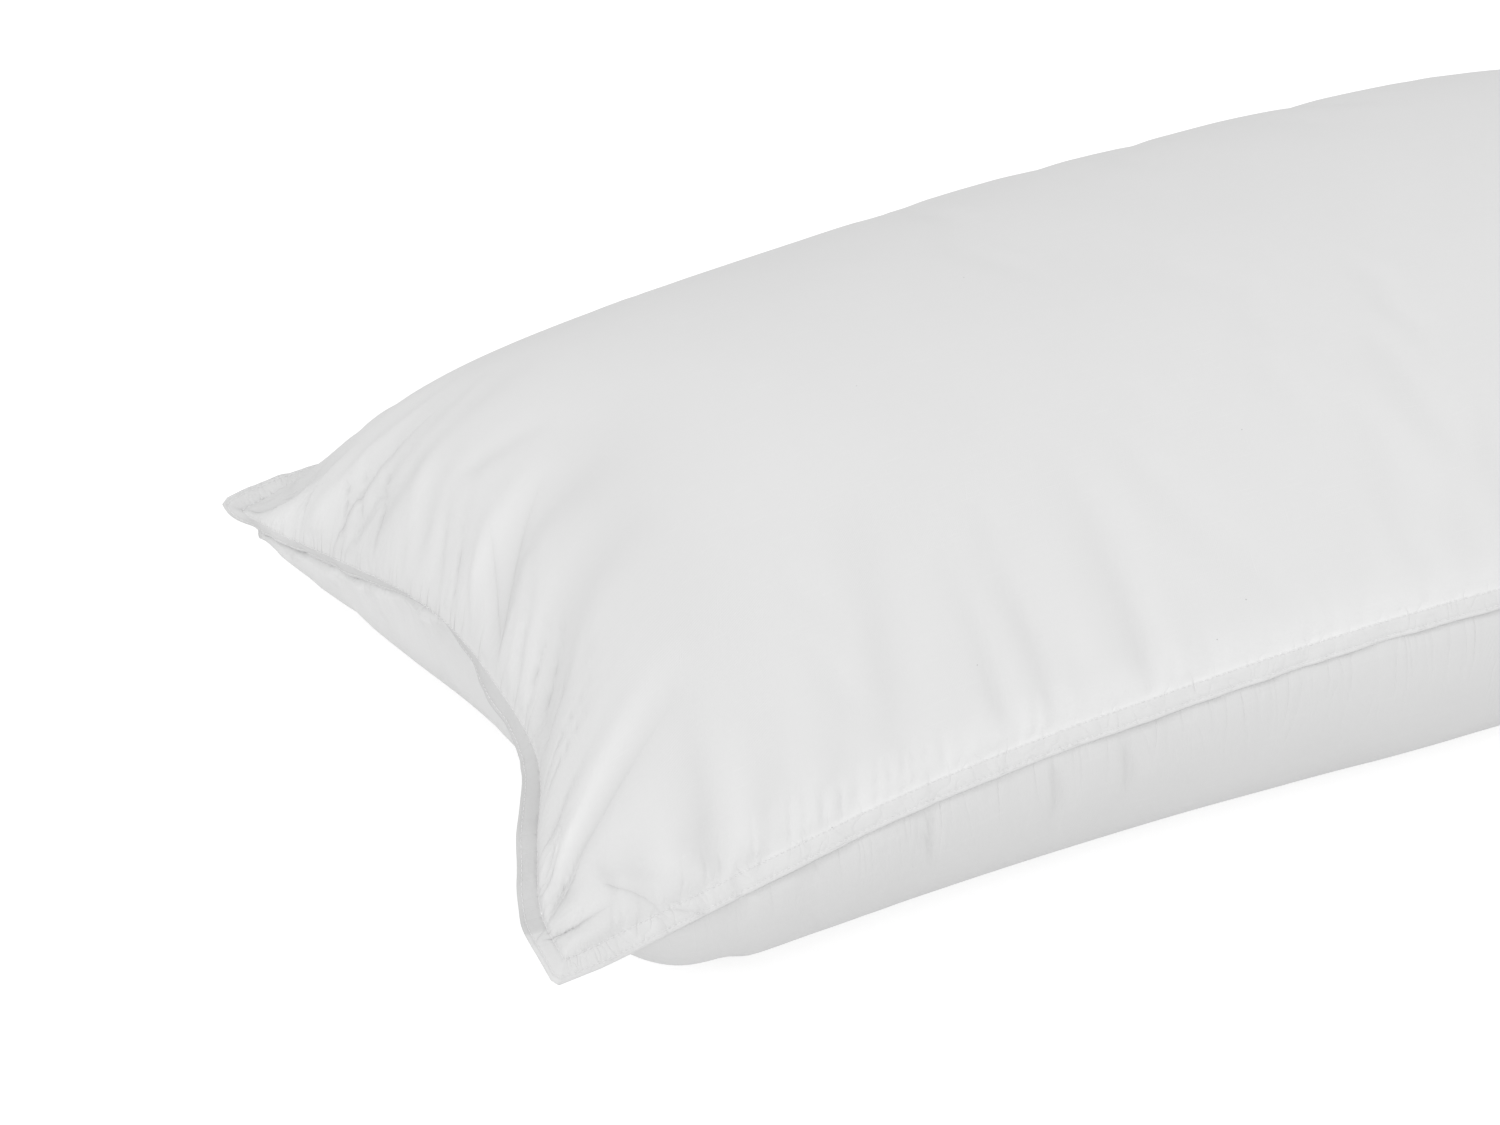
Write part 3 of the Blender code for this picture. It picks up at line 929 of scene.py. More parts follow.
def under_cloth(u, v):
    """The finished underside, the same way, flat where it rests. Distances from the
    seam are measured down the wall here, because the wall is nearly upright."""
    points = smooth_under(u, v)
    depth = np.maximum(seam_surface(u, v)[..., 2] - points[..., 2], 0)
    plain = gaps_at(u, v)
    gaps = {name: gap + depth for name, gap in plain.items()}
    square = normals(smooth_under, u, v, -1)
    rim_gap = np.minimum.reduce(list(gaps.values()))
    free = eased(points[..., 2] / REST_EASE)
    folds = relief(UNDER_FOLDS, points[..., 0], points[..., 1]) * eased(rim_gap / FOLD_HELD) * free
    gathers = puckers(points[..., 0], points[..., 1], gaps)
    over = rim_direction(u, v, gaps, -square)
    moved = points + sample(under_wrinkles, u, v) * free[..., None] + square * folds[..., None]
    below_seam = flange_half_thickness(0.0) * eased(1 - rim_gap / UNDER_SEAM_EASE)
    moved += over * (gathers * free - below_seam)[..., None]
    for name, (line, seam, _, side, _) in SIDES.items():
        at = u if line is side_seam else v
        beside = line(seam, side, np.clip(at, -1, 1))
        outwards = (moved[..., :2] - beside[..., :2]) @ FLAT_OUT[name]
        below = np.maximum(beside[..., 2] - moved[..., 2], 0)
        change = held_inside(name, at, below, outwards) - outwards
        near_it = 1 - eased((plain[name] - EDGE_HOLD_FROM) / EDGE_HOLD_FADE)
        moved[..., :2] += (change * near_it)[..., None] * FLAT_OUT[name]
    moved[..., 2] = np.maximum(moved[..., 2], 0)
    return moved


def ring_columns():
    """The columns of cells round the seam, anticlockwise from the near left corner."""
    fine_u = crowd_left(np.linspace(-1, 1, 2 * CELLS_ALONG + 1))
    fine_v = crowd(np.linspace(-1, 1, 2 * CELLS_ACROSS + 1))
    parts = [side_columns("near", fine_u[:-1]), side_columns("right", fine_v[:-1]),
             side_columns("far", fine_u[:0:-1]), side_columns("left", fine_v[:0:-1])]
    columns = {key: np.concatenate([part[key] for part in parts]) for key in parts[0]}
    steps = np.linalg.norm(np.diff(columns["seam"], axis=0, append=columns["seam"][:1]), axis=1)
    columns["path"] = np.concatenate([[0], np.cumsum(steps)[:-1]])
    return columns


def ring_at(columns, inset):
    """Places u, v of a ring that lies a given distance inside the seam."""
    return columns["u"] * (1 - inset / (LENGTH / 2)), columns["v"] * (1 - inset / (WIDTH / 2))


def flange_row(columns, t, face):
    """One row of points on the upper (face 1) or lower (face -1) side of the edge."""
    height = face * flange_half_thickness(t) + ripple(columns, t)
    return columns["seam"] + t * columns["out"] + height[:, None] * columns["over"]


def bead_row(columns, angle):
    """One row of points round the rounded outer edge."""
    radius = EDGE_THICKNESS / 2
    t = EDGE_WIDTH - radius + radius * math.cos(angle)
    height = radius * math.sin(angle) + ripple(columns, t)
    return columns["seam"] + t * columns["out"] + height[:, None] * columns["over"]


columns = ring_columns()
print("the seam is", round(float(columns["path"][-1]), 3), "m round, in", len(columns["path"]), "columns")

# %% [markdown]
# Now the rows are stacked in order, from the middle of the top, over the edge, to the
# middle of the underside. Each row is one array, so no point is made by hand.

# %% Stack the rows and weld the skin


def panel_grid(cloth, inset, share):
    """The middle of a panel: a grid inside the ring at this inset. share is the part
    of the cells that it keeps each way. Returns its points and their u and v."""
    u, v = np.meshgrid(crowd_left(np.linspace(-1, 1, CELLS_ALONG // share + 1)) * (1 - inset / (LENGTH / 2)),
                       crowd(np.linspace(-1, 1, CELLS_ACROSS // share + 1)) * (1 - inset / (WIDTH / 2)),
                       indexing="ij")
    return cloth(u, v), u, v


def rim_of(index):
    """The rim of a grid's vertex numbers, anticlockwise from its first corner."""
    return np.concatenate([index[:-1, 0], index[-1, :-1], index[:0:-1, -1], index[0, :0:-1]])


def fan(fine, coarse):
    """Triangles between a fine ring and a coarse one with half its points."""
    a, b = coarse, np.roll(coarse, -1)
    f0, f1, f2 = fine[0::2], fine[1::2], np.roll(fine[0::2], -1)
    return np.concatenate([np.stack(t, -1) for t in ((a, f0, f1), (a, f1, b), (b, f1, f2))])


def numbered(start, shape):
    """Vertex numbers for a block of points that starts at the given number."""
    return start + np.arange(shape[0] * shape[1]).reshape(shape)


def wrap(index):
    """Close a block of rings by repeating its first column."""
    return np.concatenate([index, index[:, :1]], axis=1)


def build_skin(columns):
    """All points and faces of the pillow's cloth, with its faces looking out. Also
    returns where each point lies in the flat cloth, and how much shade or light is painted on it."""
    every_second = {key: value[::2] for key, value in columns.items()}
    top_middle, top_u, top_v = panel_grid(top_cloth, TOP_GRID_INSET, 1)
    under_middle, under_u, under_v = panel_grid(under_cloth, UNDER_GRID_INSET, 2)
    rows = [(top_cloth(*ring_at(columns, inset)), -inset) for inset in RING_INSETS]
    rows += [(flange_row(columns, t, 1), t) for t in FLANGE_STEPS[:-1]]
    rows += [(bead_row(columns, angle), EDGE_WIDTH) for angle in BEAD_ANGLES]
    rows += [(flange_row(columns, t, -1), t) for t in UNDER_FLANGE_STEPS[1:]]
    rows += [(under_cloth(*ring_at(columns, inset)), -inset) for inset in UNDER_INSETS]
    band = np.stack([row for row, _ in rows])
    outer = np.stack([under_cloth(*ring_at(every_second, inset)) for inset in UNDER_OUTER_INSETS])

    top_index = numbered(0, top_middle.shape[:2])
    band_index = numbered(top_index[-1, -1] + 1, band.shape[:2])
    outer_index = numbered(band_index[-1, -1] + 1, outer.shape[:2])
    under_index = numbered(outer_index[-1, -1] + 1, under_middle.shape[:2])
    points = np.concatenate([block.reshape(-1, 3) for block in (top_middle, band, outer, under_middle)])

    flat = [flat_place(top_u, top_v)]
    flat += [flat_ring(columns, reach) for _, reach in rows]
    flat += [flat_ring(every_second, -inset) for inset in UNDER_OUTER_INSETS]
    flat += [flat_place(under_u, under_v)]
    flat = np.concatenate([block.reshape(-1, 2) for block in flat])

    quads = np.concatenate([
        grid_faces(top_index),
        grid_faces(wrap(band_index)),
        grid_faces(wrap(outer_index)),
        grid_faces(under_index)[:, ::-1],
    ])
    triangles = np.concatenate([
        fan(band_index[0], rim_of(top_index)),
        fan(band_index[-1], outer_index[0])[:, ::-1],
        fan(outer_index[-1], rim_of(under_index))[:, ::-1],
    ])
    painted_shading = np.zeros(len(points))
    edge_rows = [np.clip(reach / EDGE_PAINTED_SHADING_FROM, 0, 1) * columns["painted_shading"] for _, reach in rows]
    painted_shading[band_index.ravel()] = np.stack(edge_rows).ravel()
    return points, quads, triangles, band_index, flat, painted_shading


middle_u = np.linspace(-1, 1, 801)
middle_line = smooth_top(middle_u, 0 * middle_u)
across_line = smooth_top(0 * middle_u, middle_u)


def running_length(line):
    """Distance along a line of points, measured from its middle."""
    steps = np.linalg.norm(np.diff(line, axis=0), axis=1)
    length = np.concatenate([[0], np.cumsum(steps)])
    return length - length[-1] / 2


length_along, length_across = running_length(middle_line), running_length(across_line)


def flat_place(u, v):
    """Where a place of a panel lies in the flat cloth, in metres."""
    return np.stack([np.interp(u, middle_u, length_along), np.interp(v, middle_u, length_across)], -1)


def flat_ring(columns, reach):
    """Where a ring lies in the flat cloth: inside the seam (reach below 0) or
    outside it."""
    if reach < 0:
        return flat_place(*ring_at(columns, -reach))
    return flat_place(columns["u"], columns["v"]) + reach * columns["flat"]


skin_points, skin_quads, skin_triangles, band_index, skin_flat, skin_painted_shading = build_skin(columns)
low, high = skin_points.min(axis=0), skin_points.max(axis=0)
cad_middle = (np.array(cad_low) + np.array(cad_high)) / 2
shift = (cad_middle - (low + high) / 2) * np.array([1, 1, 0])
skin_points += shift
print("the skin has", 2 * len(skin_quads) + len(skin_triangles), "triangles and measures",
      (high - low).round(4))


def new_mesh_object(name, points, quads, triangles):
    """A mesh object from arrays of points and faces, shaded smooth. The corners of all
    faces stand in one list, and each face says where its own corners start."""
    mesh = bpy.data.meshes.new(name)
    mesh.vertices.add(len(points))
    mesh.vertices.foreach_set("co", points.astype(np.float32).ravel())
    corners = np.concatenate([quads.ravel(), triangles.ravel()])
    mesh.loops.add(len(corners))
    mesh.loops.foreach_set("vertex_index", corners.astype(np.int32))
    starts = np.concatenate([np.arange(len(quads)) * 4, len(quads) * 4 + np.arange(len(triangles)) * 3])
    mesh.polygons.add(len(starts))
    mesh.polygons.foreach_set("loop_start", starts.astype(np.int32))
    mesh.update(calc_edges=True)
    mesh.validate()
    mesh.shade_smooth()
    made = bpy.data.objects.new(name, mesh)
    bpy.context.scene.collection.objects.link(made)
    return made


pillow_cloth = new_mesh_object("pillow_cloth", skin_points, skin_quads, skin_triangles)

# %% [markdown]
# ## Flat places for the weave
#
# Threads run straight in the flat cloth, so the material needs to know where each
# point was before the pillow was filled. That is what a UV map is for. This one is in
# metres, measured along the middle of the pillow both ways, and the underside has its
# own place beside the top.

# %% Write the UV map and the masks
UNDER_PLACE = 1.2
# How far inside the seams the pleats of the ends and of the sides show, and how much
# of them the flat edge loses.
END_PLEATS = (0.016, 0.75)
SIDE_PLEATS = (0.005, 0.3)
# How wide the change is at the seam, where the pleats start beside a corner, and over
# what length they come in there.
PLEATS_SEAM = 0.001
PLEATS_CORNER = 0.004
PLEATS_FADE_IN = 0.020


def beside(flat, ends):
    """How near each point is to the seams of both ends (or of both sides): 1 at the
    seam, less on the flat edge, and falling off inside as exp(-gap / reach)."""
    halves = length_along[-1], length_across[-1]
    axis = 0 if ends else 1
    reach, lost = END_PLEATS if ends else SIDE_PLEATS
    inside = halves[axis] - np.abs(flat[:, axis])
    other = halves[1 - axis] - np.abs(flat[:, 1 - axis])
    on_edge = np.clip(-inside / PLEATS_SEAM, 0, 1)
    past_corner = eased((other - PLEATS_CORNER) / PLEATS_FADE_IN)
    return np.exp(-np.maximum(inside, 0) / reach) * past_corner * (1 - lost * on_edge)


def store_flat_places(thing, flat, masks, under_from):
    """Write the UV map "cloth" and the masks. Faces whose points all come after
    under_from belong to the underside."""
    mesh = thing.data
    corner_points = np.empty(len(mesh.loops), dtype=np.int32)
    mesh.loops.foreach_get("vertex_index", corner_points)
    sizes = np.empty(len(mesh.polygons), dtype=np.int32)
    mesh.polygons.foreach_get("loop_total", sizes)
    face_of_corner = np.repeat(np.arange(len(sizes)), sizes)
    lowest = np.full(len(sizes), len(flat))
    np.minimum.at(lowest, face_of_corner, corner_points)
    places = flat[corner_points]
    places[:, 0] += UNDER_PLACE * (lowest[face_of_corner] >= under_from)
    layer = mesh.uv_layers.new(name="cloth")
    layer.data.foreach_set("uv", places.astype(np.float32).ravel())
    for name, values in masks.items():
        mask = mesh.attributes.new(name, "FLOAT", "POINT")
        mask.data.foreach_set("value", values.astype(np.float32))


# %% [markdown]
# ## Painted light and shade
#
# Some light and shade is painted into the cloth's tone. Painted light lies just inside
# the near seam, on the near flat edge, on the wall under the visible end and on a broad
# part of the far left ear. Painted shade lies on the rest of the flat edge, on the far
# left ear behind a line across it, under the near edge and behind the folds of the
# visible end. One value at each point keeps this: above 0 it is painted shade, and
# below 0 painted light. Another keeps the height of the folds, whose floors are
# painted darker and whose ridges are painted lighter.

# %% Mark the painted light and shade
# EAR_LINE crosses the far left ear from above. Behind it, and as far along as EAR_END,
# shade is painted on the ear.
EAR_LINE = np.array([[-0.420, 0.216], [-0.396, 0.179]])
EAR_END = -0.372
EAR_SOFTNESS = 0.002
EAR_FADE = 0.020
EAR_PAINTED_SHADE = 0.35
# Painted light on the ridge just inside the near seam. It starts some way from the near
# left corner, whose cloth is crumpled: how far, and over what length. At the right end it
# fades out over the length given last.
RIDGE_PAINTED_LIGHT = 0.95
RIDGE_PAINTED_LIGHT_REACH = 0.0075
RIDGE_PAINTED_LIGHT_SOFTNESS = 0.0012
RIDGE_PAINTED_LIGHT_START = (0.07, 0.16)
RIDGE_PAINTED_LIGHT_STOP = 0.05
# Painted shade on the underside just under the near seam: how much, and how far down it reaches.
UNDER_PAINTED_SHADE = 0.35
UNDER_PAINTED_SHADE_REACH = 0.020
# Painted light on the wall under the visible end: how much, and how far in from that end it reaches.
END_WALL_PAINTED_LIGHT = 0.33
END_WALL_PAINTED_LIGHT_REACH = 0.080
# Broad patches of painted shade on the top, in the columns of a fold. Instead of a rise,
# each has how much shade is painted, or painted light with a minus.
PAINTED_LIGHT_AND_SHADE_PATCHES = {
    "behind the end": (-330, 20, -328, -75, -330, -190, 38, 42, 0.45, 0),
    "ear panel": (-422, 210, -397, 158, -326, 124, 13, 18, -0.75, 0),
}
# How far inside the seam the painted shade of the folds reaches full strength.
FOLD_SHADE_FROM = 0.004

edge_middle_row = len(RING_INSETS) + len(FLANGE_STEPS) - 1 + len(BEAD_ANGLES) // 2
is_top = np.arange(len(skin_points)) < band_index[edge_middle_row, 0]
is_under = ~is_top
from_left = skin_flat[:, 0] + length_along[-1]
from_right = length_along[-1] - skin_flat[:, 0]
from_near = skin_flat[:, 1] + length_across[-1]
from_above = skin_points[:, 0] - shift[0], skin_points[:, 1] - shift[1]

ear_side = EAR_LINE[1] - EAR_LINE[0]
behind = (skin_points[:, :2] - shift[:2] - EAR_LINE[0]) @ np.array([-ear_side[1], ear_side[0]])
behind /= np.linalg.norm(ear_side)
ear_painted_shade = eased(behind / EAR_SOFTNESS) * eased((EAR_END - skin_points[:, 0]) / EAR_FADE)
ear_painted_shade *= skin_flat[:, 1] > 0
skin_painted_shading = np.maximum(skin_painted_shading, EAR_PAINTED_SHADE * ear_painted_shade * is_top)

ridge_painted_light = RIDGE_PAINTED_LIGHT * np.exp(-np.maximum(from_near, 0) / RIDGE_PAINTED_LIGHT_REACH)
ridge_painted_light *= eased(from_near / RIDGE_PAINTED_LIGHT_SOFTNESS + 0.5)
ridge_painted_light *= eased((from_left - RIDGE_PAINTED_LIGHT_START[0]) / RIDGE_PAINTED_LIGHT_START[1])
skin_painted_shading -= ridge_painted_light * is_top * eased(from_right / RIDGE_PAINTED_LIGHT_STOP)
under_painted_shade = UNDER_PAINTED_SHADE * np.exp(-np.maximum(from_near, 0) / UNDER_PAINTED_SHADE_REACH)
skin_painted_shading += under_painted_shade * is_under * (from_near > 0)
end_wall_painted_light = END_WALL_PAINTED_LIGHT * np.exp(-(from_left / END_WALL_PAINTED_LIGHT_REACH) ** 2)
skin_painted_shading -= end_wall_painted_light * is_under * (from_left > 0)
skin_painted_shading += relief(PAINTED_LIGHT_AND_SHADE_PATCHES, *from_above) / MM * is_top
print("bare runs from", round(float(skin_painted_shading.min()), 2), "to", round(float(skin_painted_shading.max()), 2))

# The folds' heights, from which shade is painted on their floors and light on their ridges.
heights = relief(TOP_FOLDS, *from_above) / MM
from_ends = length_along[-1] - np.abs(skin_flat[:, 0])
from_sides = length_across[-1] - np.abs(skin_flat[:, 1])
heights *= is_top * eased(np.minimum(from_ends, from_sides) / FOLD_SHADE_FROM)
masks = {"painted_shading": skin_painted_shading, "fold_height": heights,
         "beside_ends": beside(skin_flat, True), "beside_sides": beside(skin_flat, False)}
store_flat_places(pillow_cloth, skin_flat, masks, band_index[edge_middle_row, 0])
print("the flat cloth is", (skin_flat.max(axis=0) - skin_flat.min(axis=0)).round(3), "m a panel")

# %% [markdown]
# ## The stitches
#
# Two rows of lockstitch hold the edge: one at the seam and one near its rim. Each
# stitch is a short thread that dives into the cloth at both ends. One small shape,
# five sides round and four rings long, is bent over and repeated along the row, on
# both faces of the edge.

# %% Sew the rows
STITCH_PITCH = 0.0030
STITCH_LENGTH = 0.0024
THREAD_RADIUS = 0.00021
STITCH_SIDES = 5
STITCH_RINGS = np.array([-0.5, -0.28, 0.28, 0.5])
STITCH_THICKNESS = np.array([0.55, 1.0, 1.0, 0.55])
STITCH_LIFT = np.array([-0.8, 0.9, 0.9, -0.8])


def stitch_row(columns, t, face):
    """Points and faces of one row of stitches at a distance t outside the seam. Each
    ring is centre + radius * (cos(angle) * over + sin(angle) * across)."""
    line = flange_row(columns, t, face) + shift
    closed = np.concatenate([line, line[:1]])
    over = np.concatenate([columns["over"], columns["over"][:1]]) * face
    steps = np.linalg.norm(np.diff(closed, axis=0), axis=1)
    path = np.concatenate([[0], np.cumsum(steps)])
    count = int(path[-1] / STITCH_PITCH)
    middles = (np.arange(count) + 0.5) * path[-1] / count
    at = middles[:, None] + STITCH_RINGS * STITCH_LENGTH
    centre = np.stack([np.interp(at % path[-1], path, closed[:, k]) for k in range(3)], -1)
    up = np.stack([np.interp(at % path[-1], path, over[:, k]) for k in range(3)], -1)
    up /= np.linalg.norm(up, axis=-1, keepdims=True)
    along = centre[:, -1:] - centre[:, :1]
    across = np.cross(up, along)
    across /= np.linalg.norm(across, axis=-1, keepdims=True)
    centre = centre + up * (STITCH_LIFT * THREAD_RADIUS)[:, None]
    angles = np.arange(STITCH_SIDES) * 2 * math.pi / STITCH_SIDES
    radius = (STITCH_THICKNESS * THREAD_RADIUS)[:, None, None]
    spokes = (np.cos(angles)[:, None] * up[:, :, None] + np.sin(angles)[:, None] * across[:, :, None])
    points = centre[:, :, None] + radius * spokes
    rings = np.arange(points[..., 0].size).reshape(count, len(STITCH_RINGS), STITCH_SIDES)
    around = np.roll(rings, -1, axis=2)
    quads = np.stack([rings[:, :-1], around[:, :-1], around[:, 1:], rings[:, 1:]], -1).reshape(-1, 4)
    first, last = rings[:, 0], rings[:, -1]
    caps = [np.stack([first[:, 0], first[:, k + 1], first[:, k]], -1) for k in range(1, STITCH_SIDES - 1)]
    caps += [np.stack([last[:, 0], last[:, k], last[:, k + 1]], -1) for k in range(1, STITCH_SIDES - 1)]
    return points.reshape(-1, 3), quads, np.concatenate(caps)


def sew(name, columns, face):
    """One object with both rows of stitches of one face of the edge."""
    rows = [stitch_row(columns, t, face) for t in (0.0, EDGE_STITCH)]
    offset = len(rows[0][0])
    points = np.concatenate([rows[0][0], rows[1][0]])
    quads = np.concatenate([rows[0][1], rows[1][1] + offset])
    triangles = np.concatenate([rows[0][2], rows[1][2] + offset])
    print(name, "has", len(points) // (len(STITCH_RINGS) * STITCH_SIDES), "stitches")
    return new_mesh_object(name, points, quads, triangles)


upper_stitches = sew("upper_stitches", columns, 1)
lower_stitches = sew("lower_stitches", columns, -1)

# %% [markdown]
# ## The weave as node groups
#
# Plain cotton is a grid of threads a third of a millimetre apart. Some threads are
# thicker for a short way (slubs), and here and there lies a speck of seed husk or
# lint. Each of these is a node group of its own, because both the panels and any other
# cotton could use it. A group puts out only heights and masks. The shader, with its
# fixed values, stays in the material.

# %% Build the cotton groups
THREADS_PER_METRE = 3000
SLUBS_PER_METRE = 55
SLUB_FINENESS = 1200
SLUB_START_ALONG = 0.60
SLUB_START_ACROSS = 0.66
SLUB_STEEPNESS = 5.0
SPECKS_PER_METRE = 50
SPECK_RADIUS = 0.016
SPECK_RARITY = 0.62
CREASE_FADE_IN = 9.0
CREASE_FADE_OUT = 2.2
PLEAT_WANDER = 0.4


def new_group(name, inputs, outputs):
    """An empty shader node group with the given sockets: (name, socket type)."""
    group = bpy.data.node_groups.new(name, "ShaderNodeTree")
    for socket, kind in inputs:
        group.interface.new_socket(socket, in_out="INPUT", socket_type=kind)
    for socket, kind in outputs:
        group.interface.new_socket(socket, in_out="OUTPUT", socket_type=kind)
    return group, group.nodes.new("NodeGroupInput"), group.nodes.new("NodeGroupOutput")


def math_node(tree, operation, *values):
    """A maths node. Each value is a number or a socket to link."""
    node = tree.nodes.new("ShaderNodeMath")
    node.operation = operation
    for slot, value in enumerate(values):
        if isinstance(value, bpy.types.NodeSocket):
            tree.links.new(value, node.inputs[slot])
        else:
            node.inputs[slot].default_value = value
    return node.outputs[0]


def scaled(tree, vector, scale):
    """A vector multiplied by a fixed scale for each direction."""
    node = tree.nodes.new("ShaderNodeVectorMath")
    node.operation = "MULTIPLY"
    tree.links.new(vector, node.inputs[0])
    node.inputs[1].default_value = scale
    return node.outputs[0]


def noise_value(tree, vector, scale, detail):
    """Noise between 0 and 1 at a place."""
    node = tree.nodes.new("ShaderNodeTexNoise")
    tree.links.new(vector, node.inputs["Vector"])
    node.inputs["Scale"].default_value = scale
    node.inputs["Detail"].default_value = detail
    return node.outputs["Fac"]


def weave_group():
    """Plain weave: the height is 0.5 + 0.5 sin(x) sin(y), which is high where a warp
    thread crosses over and low where it goes under."""
    group, given, result = new_group(
        "plain_weave", [("Place", "NodeSocketVector")], [("Height", "NodeSocketFloat")])
    parts = group.nodes.new("ShaderNodeSeparateXYZ")
    group.links.new(given.outputs["Place"], parts.inputs[0])
    turn = math.pi * THREADS_PER_METRE
    x = math_node(group, "SINE", math_node(group, "MULTIPLY", parts.outputs["X"], turn))
    y = math_node(group, "SINE", math_node(group, "MULTIPLY", parts.outputs["Y"], turn))
    height = math_node(group, "MULTIPLY_ADD", math_node(group, "MULTIPLY", x, y), 0.5, 0.5)
    group.links.new(height, result.inputs["Height"])
    return group


def slub_group():
    """Slubs: noise stretched along the threads, once for each direction of thread, of
    which only the highest part counts."""
    group, given, result = new_group(
        "slubs", [("Place", "NodeSocketVector")], [("Mask", "NodeSocketFloat")])
    masks = []
    along_x, along_y = (SLUBS_PER_METRE, SLUB_FINENESS, 1), (SLUB_FINENESS, SLUBS_PER_METRE, 1)
    for stretch, start in ((along_x, SLUB_START_ALONG), (along_y, SLUB_START_ACROSS)):
        fine = noise_value(group, scaled(group, given.outputs["Place"], stretch), 1.0, 1.0)
        above = math_node(group, "SUBTRACT", fine, start)
        masks.append(math_node(group, "MULTIPLY", above, SLUB_STEEPNESS))
    both = math_node(group, "MAXIMUM", math_node(group, "MAXIMUM", masks[0], masks[1]), 0.0)
    group.links.new(math_node(group, "MINIMUM", both, 1.0), result.inputs["Mask"])
    return group


def speck_group():
    """Specks: a dot at the middle of some cells of a Voronoi pattern."""
    group, given, result = new_group(
        "specks", [("Place", "NodeSocketVector")], [("Mask", "NodeSocketFloat")])
    cells = group.nodes.new("ShaderNodeTexVoronoi")
    cells.inputs["Scale"].default_value = SPECKS_PER_METRE
    group.links.new(given.outputs["Place"], cells.inputs["Vector"])
    dot = math_node(group, "LESS_THAN", cells.outputs["Distance"], SPECK_RADIUS)
    parts = group.nodes.new("ShaderNodeSeparateColor")
    group.links.new(cells.outputs["Color"], parts.inputs[0])
    chosen = math_node(group, "GREATER_THAN", parts.outputs["Red"], SPECK_RARITY)
    group.links.new(math_node(group, "MULTIPLY", dot, chosen), result.inputs["Mask"])
    return group


def crease_group():
    """One crease in plan. A straight line runs from Start to End, and the crease bows
    out from it by 4 * Bow * t * (1 - t). The mask falls off beside it as
    exp(-distance / width), and fades at both ends."""
    group, given, result = new_group("crease", [
        ("Place", "NodeSocketVector"), ("Start", "NodeSocketVector"), ("End", "NodeSocketVector"),
        ("Bow", "NodeSocketFloat"), ("Width", "NodeSocketFloat"), ("Wider", "NodeSocketFloat"),
    ], [("Mask", "NodeSocketFloat")])

    def vector_node(operation, first, second, output):
        node = group.nodes.new("ShaderNodeVectorMath")
        node.operation = operation
        group.links.new(first, node.inputs[0])
        if second is not None:
            group.links.new(second, node.inputs[1])
        return node.outputs[output]

    line = vector_node("SUBTRACT", given.outputs["End"], given.outputs["Start"], 0)
    place = vector_node("SUBTRACT", given.outputs["Place"], given.outputs["Start"], 0)
    length = vector_node("LENGTH", line, None, "Value")
    t = math_node(group, "DIVIDE", vector_node("DOT_PRODUCT", place, line, "Value"),
                  math_node(group, "MULTIPLY", length, length))
    t.node.use_clamp = True
    turned = group.nodes.new("ShaderNodeSeparateXYZ")
    group.links.new(vector_node("CROSS_PRODUCT", line, place, 0), turned.inputs[0])
    beside = math_node(group, "DIVIDE", turned.outputs["Z"], length)
    rest = math_node(group, "SUBTRACT", 1.0, t)
    bow = math_node(group, "MULTIPLY", math_node(group, "MULTIPLY", t, rest),
                    math_node(group, "MULTIPLY", given.outputs["Bow"], 4.0))
    away = math_node(group, "ABSOLUTE", math_node(group, "SUBTRACT", beside, bow))
    grow = math_node(group, "SUBTRACT", given.outputs["Wider"], given.outputs["Width"])
    width = math_node(group, "MULTIPLY_ADD", grow, t, given.outputs["Width"])
    widths_away = math_node(group, "DIVIDE", away, width)
    mask = math_node(group, "EXPONENT", math_node(group, "MULTIPLY", widths_away, -1.0))
    for share, sharpness in ((t, CREASE_FADE_IN), (rest, CREASE_FADE_OUT)):
        fade = math_node(group, "MULTIPLY", share, sharpness)
        fade.node.use_clamp = True
        mask = math_node(group, "MULTIPLY", mask, fade)
    group.links.new(mask, result.inputs["Mask"])
    return group


def pleat_group():
    """Pleats square to the seam: a crease wherever noise that is narrow along the seam
    passes through the middle. Across and Along set how many cells the noise has to a
    metre each way. A little noise is added to the place, so that no pleat is straight."""
    group, given, result = new_group("pleats", [
        ("Place", "NodeSocketVector"), ("Cells", "NodeSocketVector"), ("Sharpness", "NodeSocketFloat"),
    ], [("Mask", "NodeSocketFloat")])
    stretched = group.nodes.new("ShaderNodeVectorMath")
    stretched.operation = "MULTIPLY"
    group.links.new(given.outputs["Place"], stretched.inputs[0])
    group.links.new(given.outputs["Cells"], stretched.inputs[1])
    node = group.nodes.new("ShaderNodeTexNoise")
    group.links.new(stretched.outputs[0], node.inputs["Vector"])
    node.inputs["Scale"].default_value = 1.0
    node.inputs["Detail"].default_value = 1.0
    node.inputs["Distortion"].default_value = PLEAT_WANDER
    away = math_node(group, "ABSOLUTE", math_node(group, "SUBTRACT", node.outputs["Fac"], 0.5))
    narrow = math_node(group, "MULTIPLY", away, given.outputs["Sharpness"])
    mask = math_node(group, "EXPONENT", math_node(group, "MULTIPLY", narrow, -1.0))
    group.links.new(mask, result.inputs["Mask"])
    return group


weave, slubs, specks = weave_group(), slub_group(), speck_group()
crease, pleats = crease_group(), pleat_group()
print("node groups:", ", ".join(group.name for group in (weave, slubs, specks, crease, pleats)))
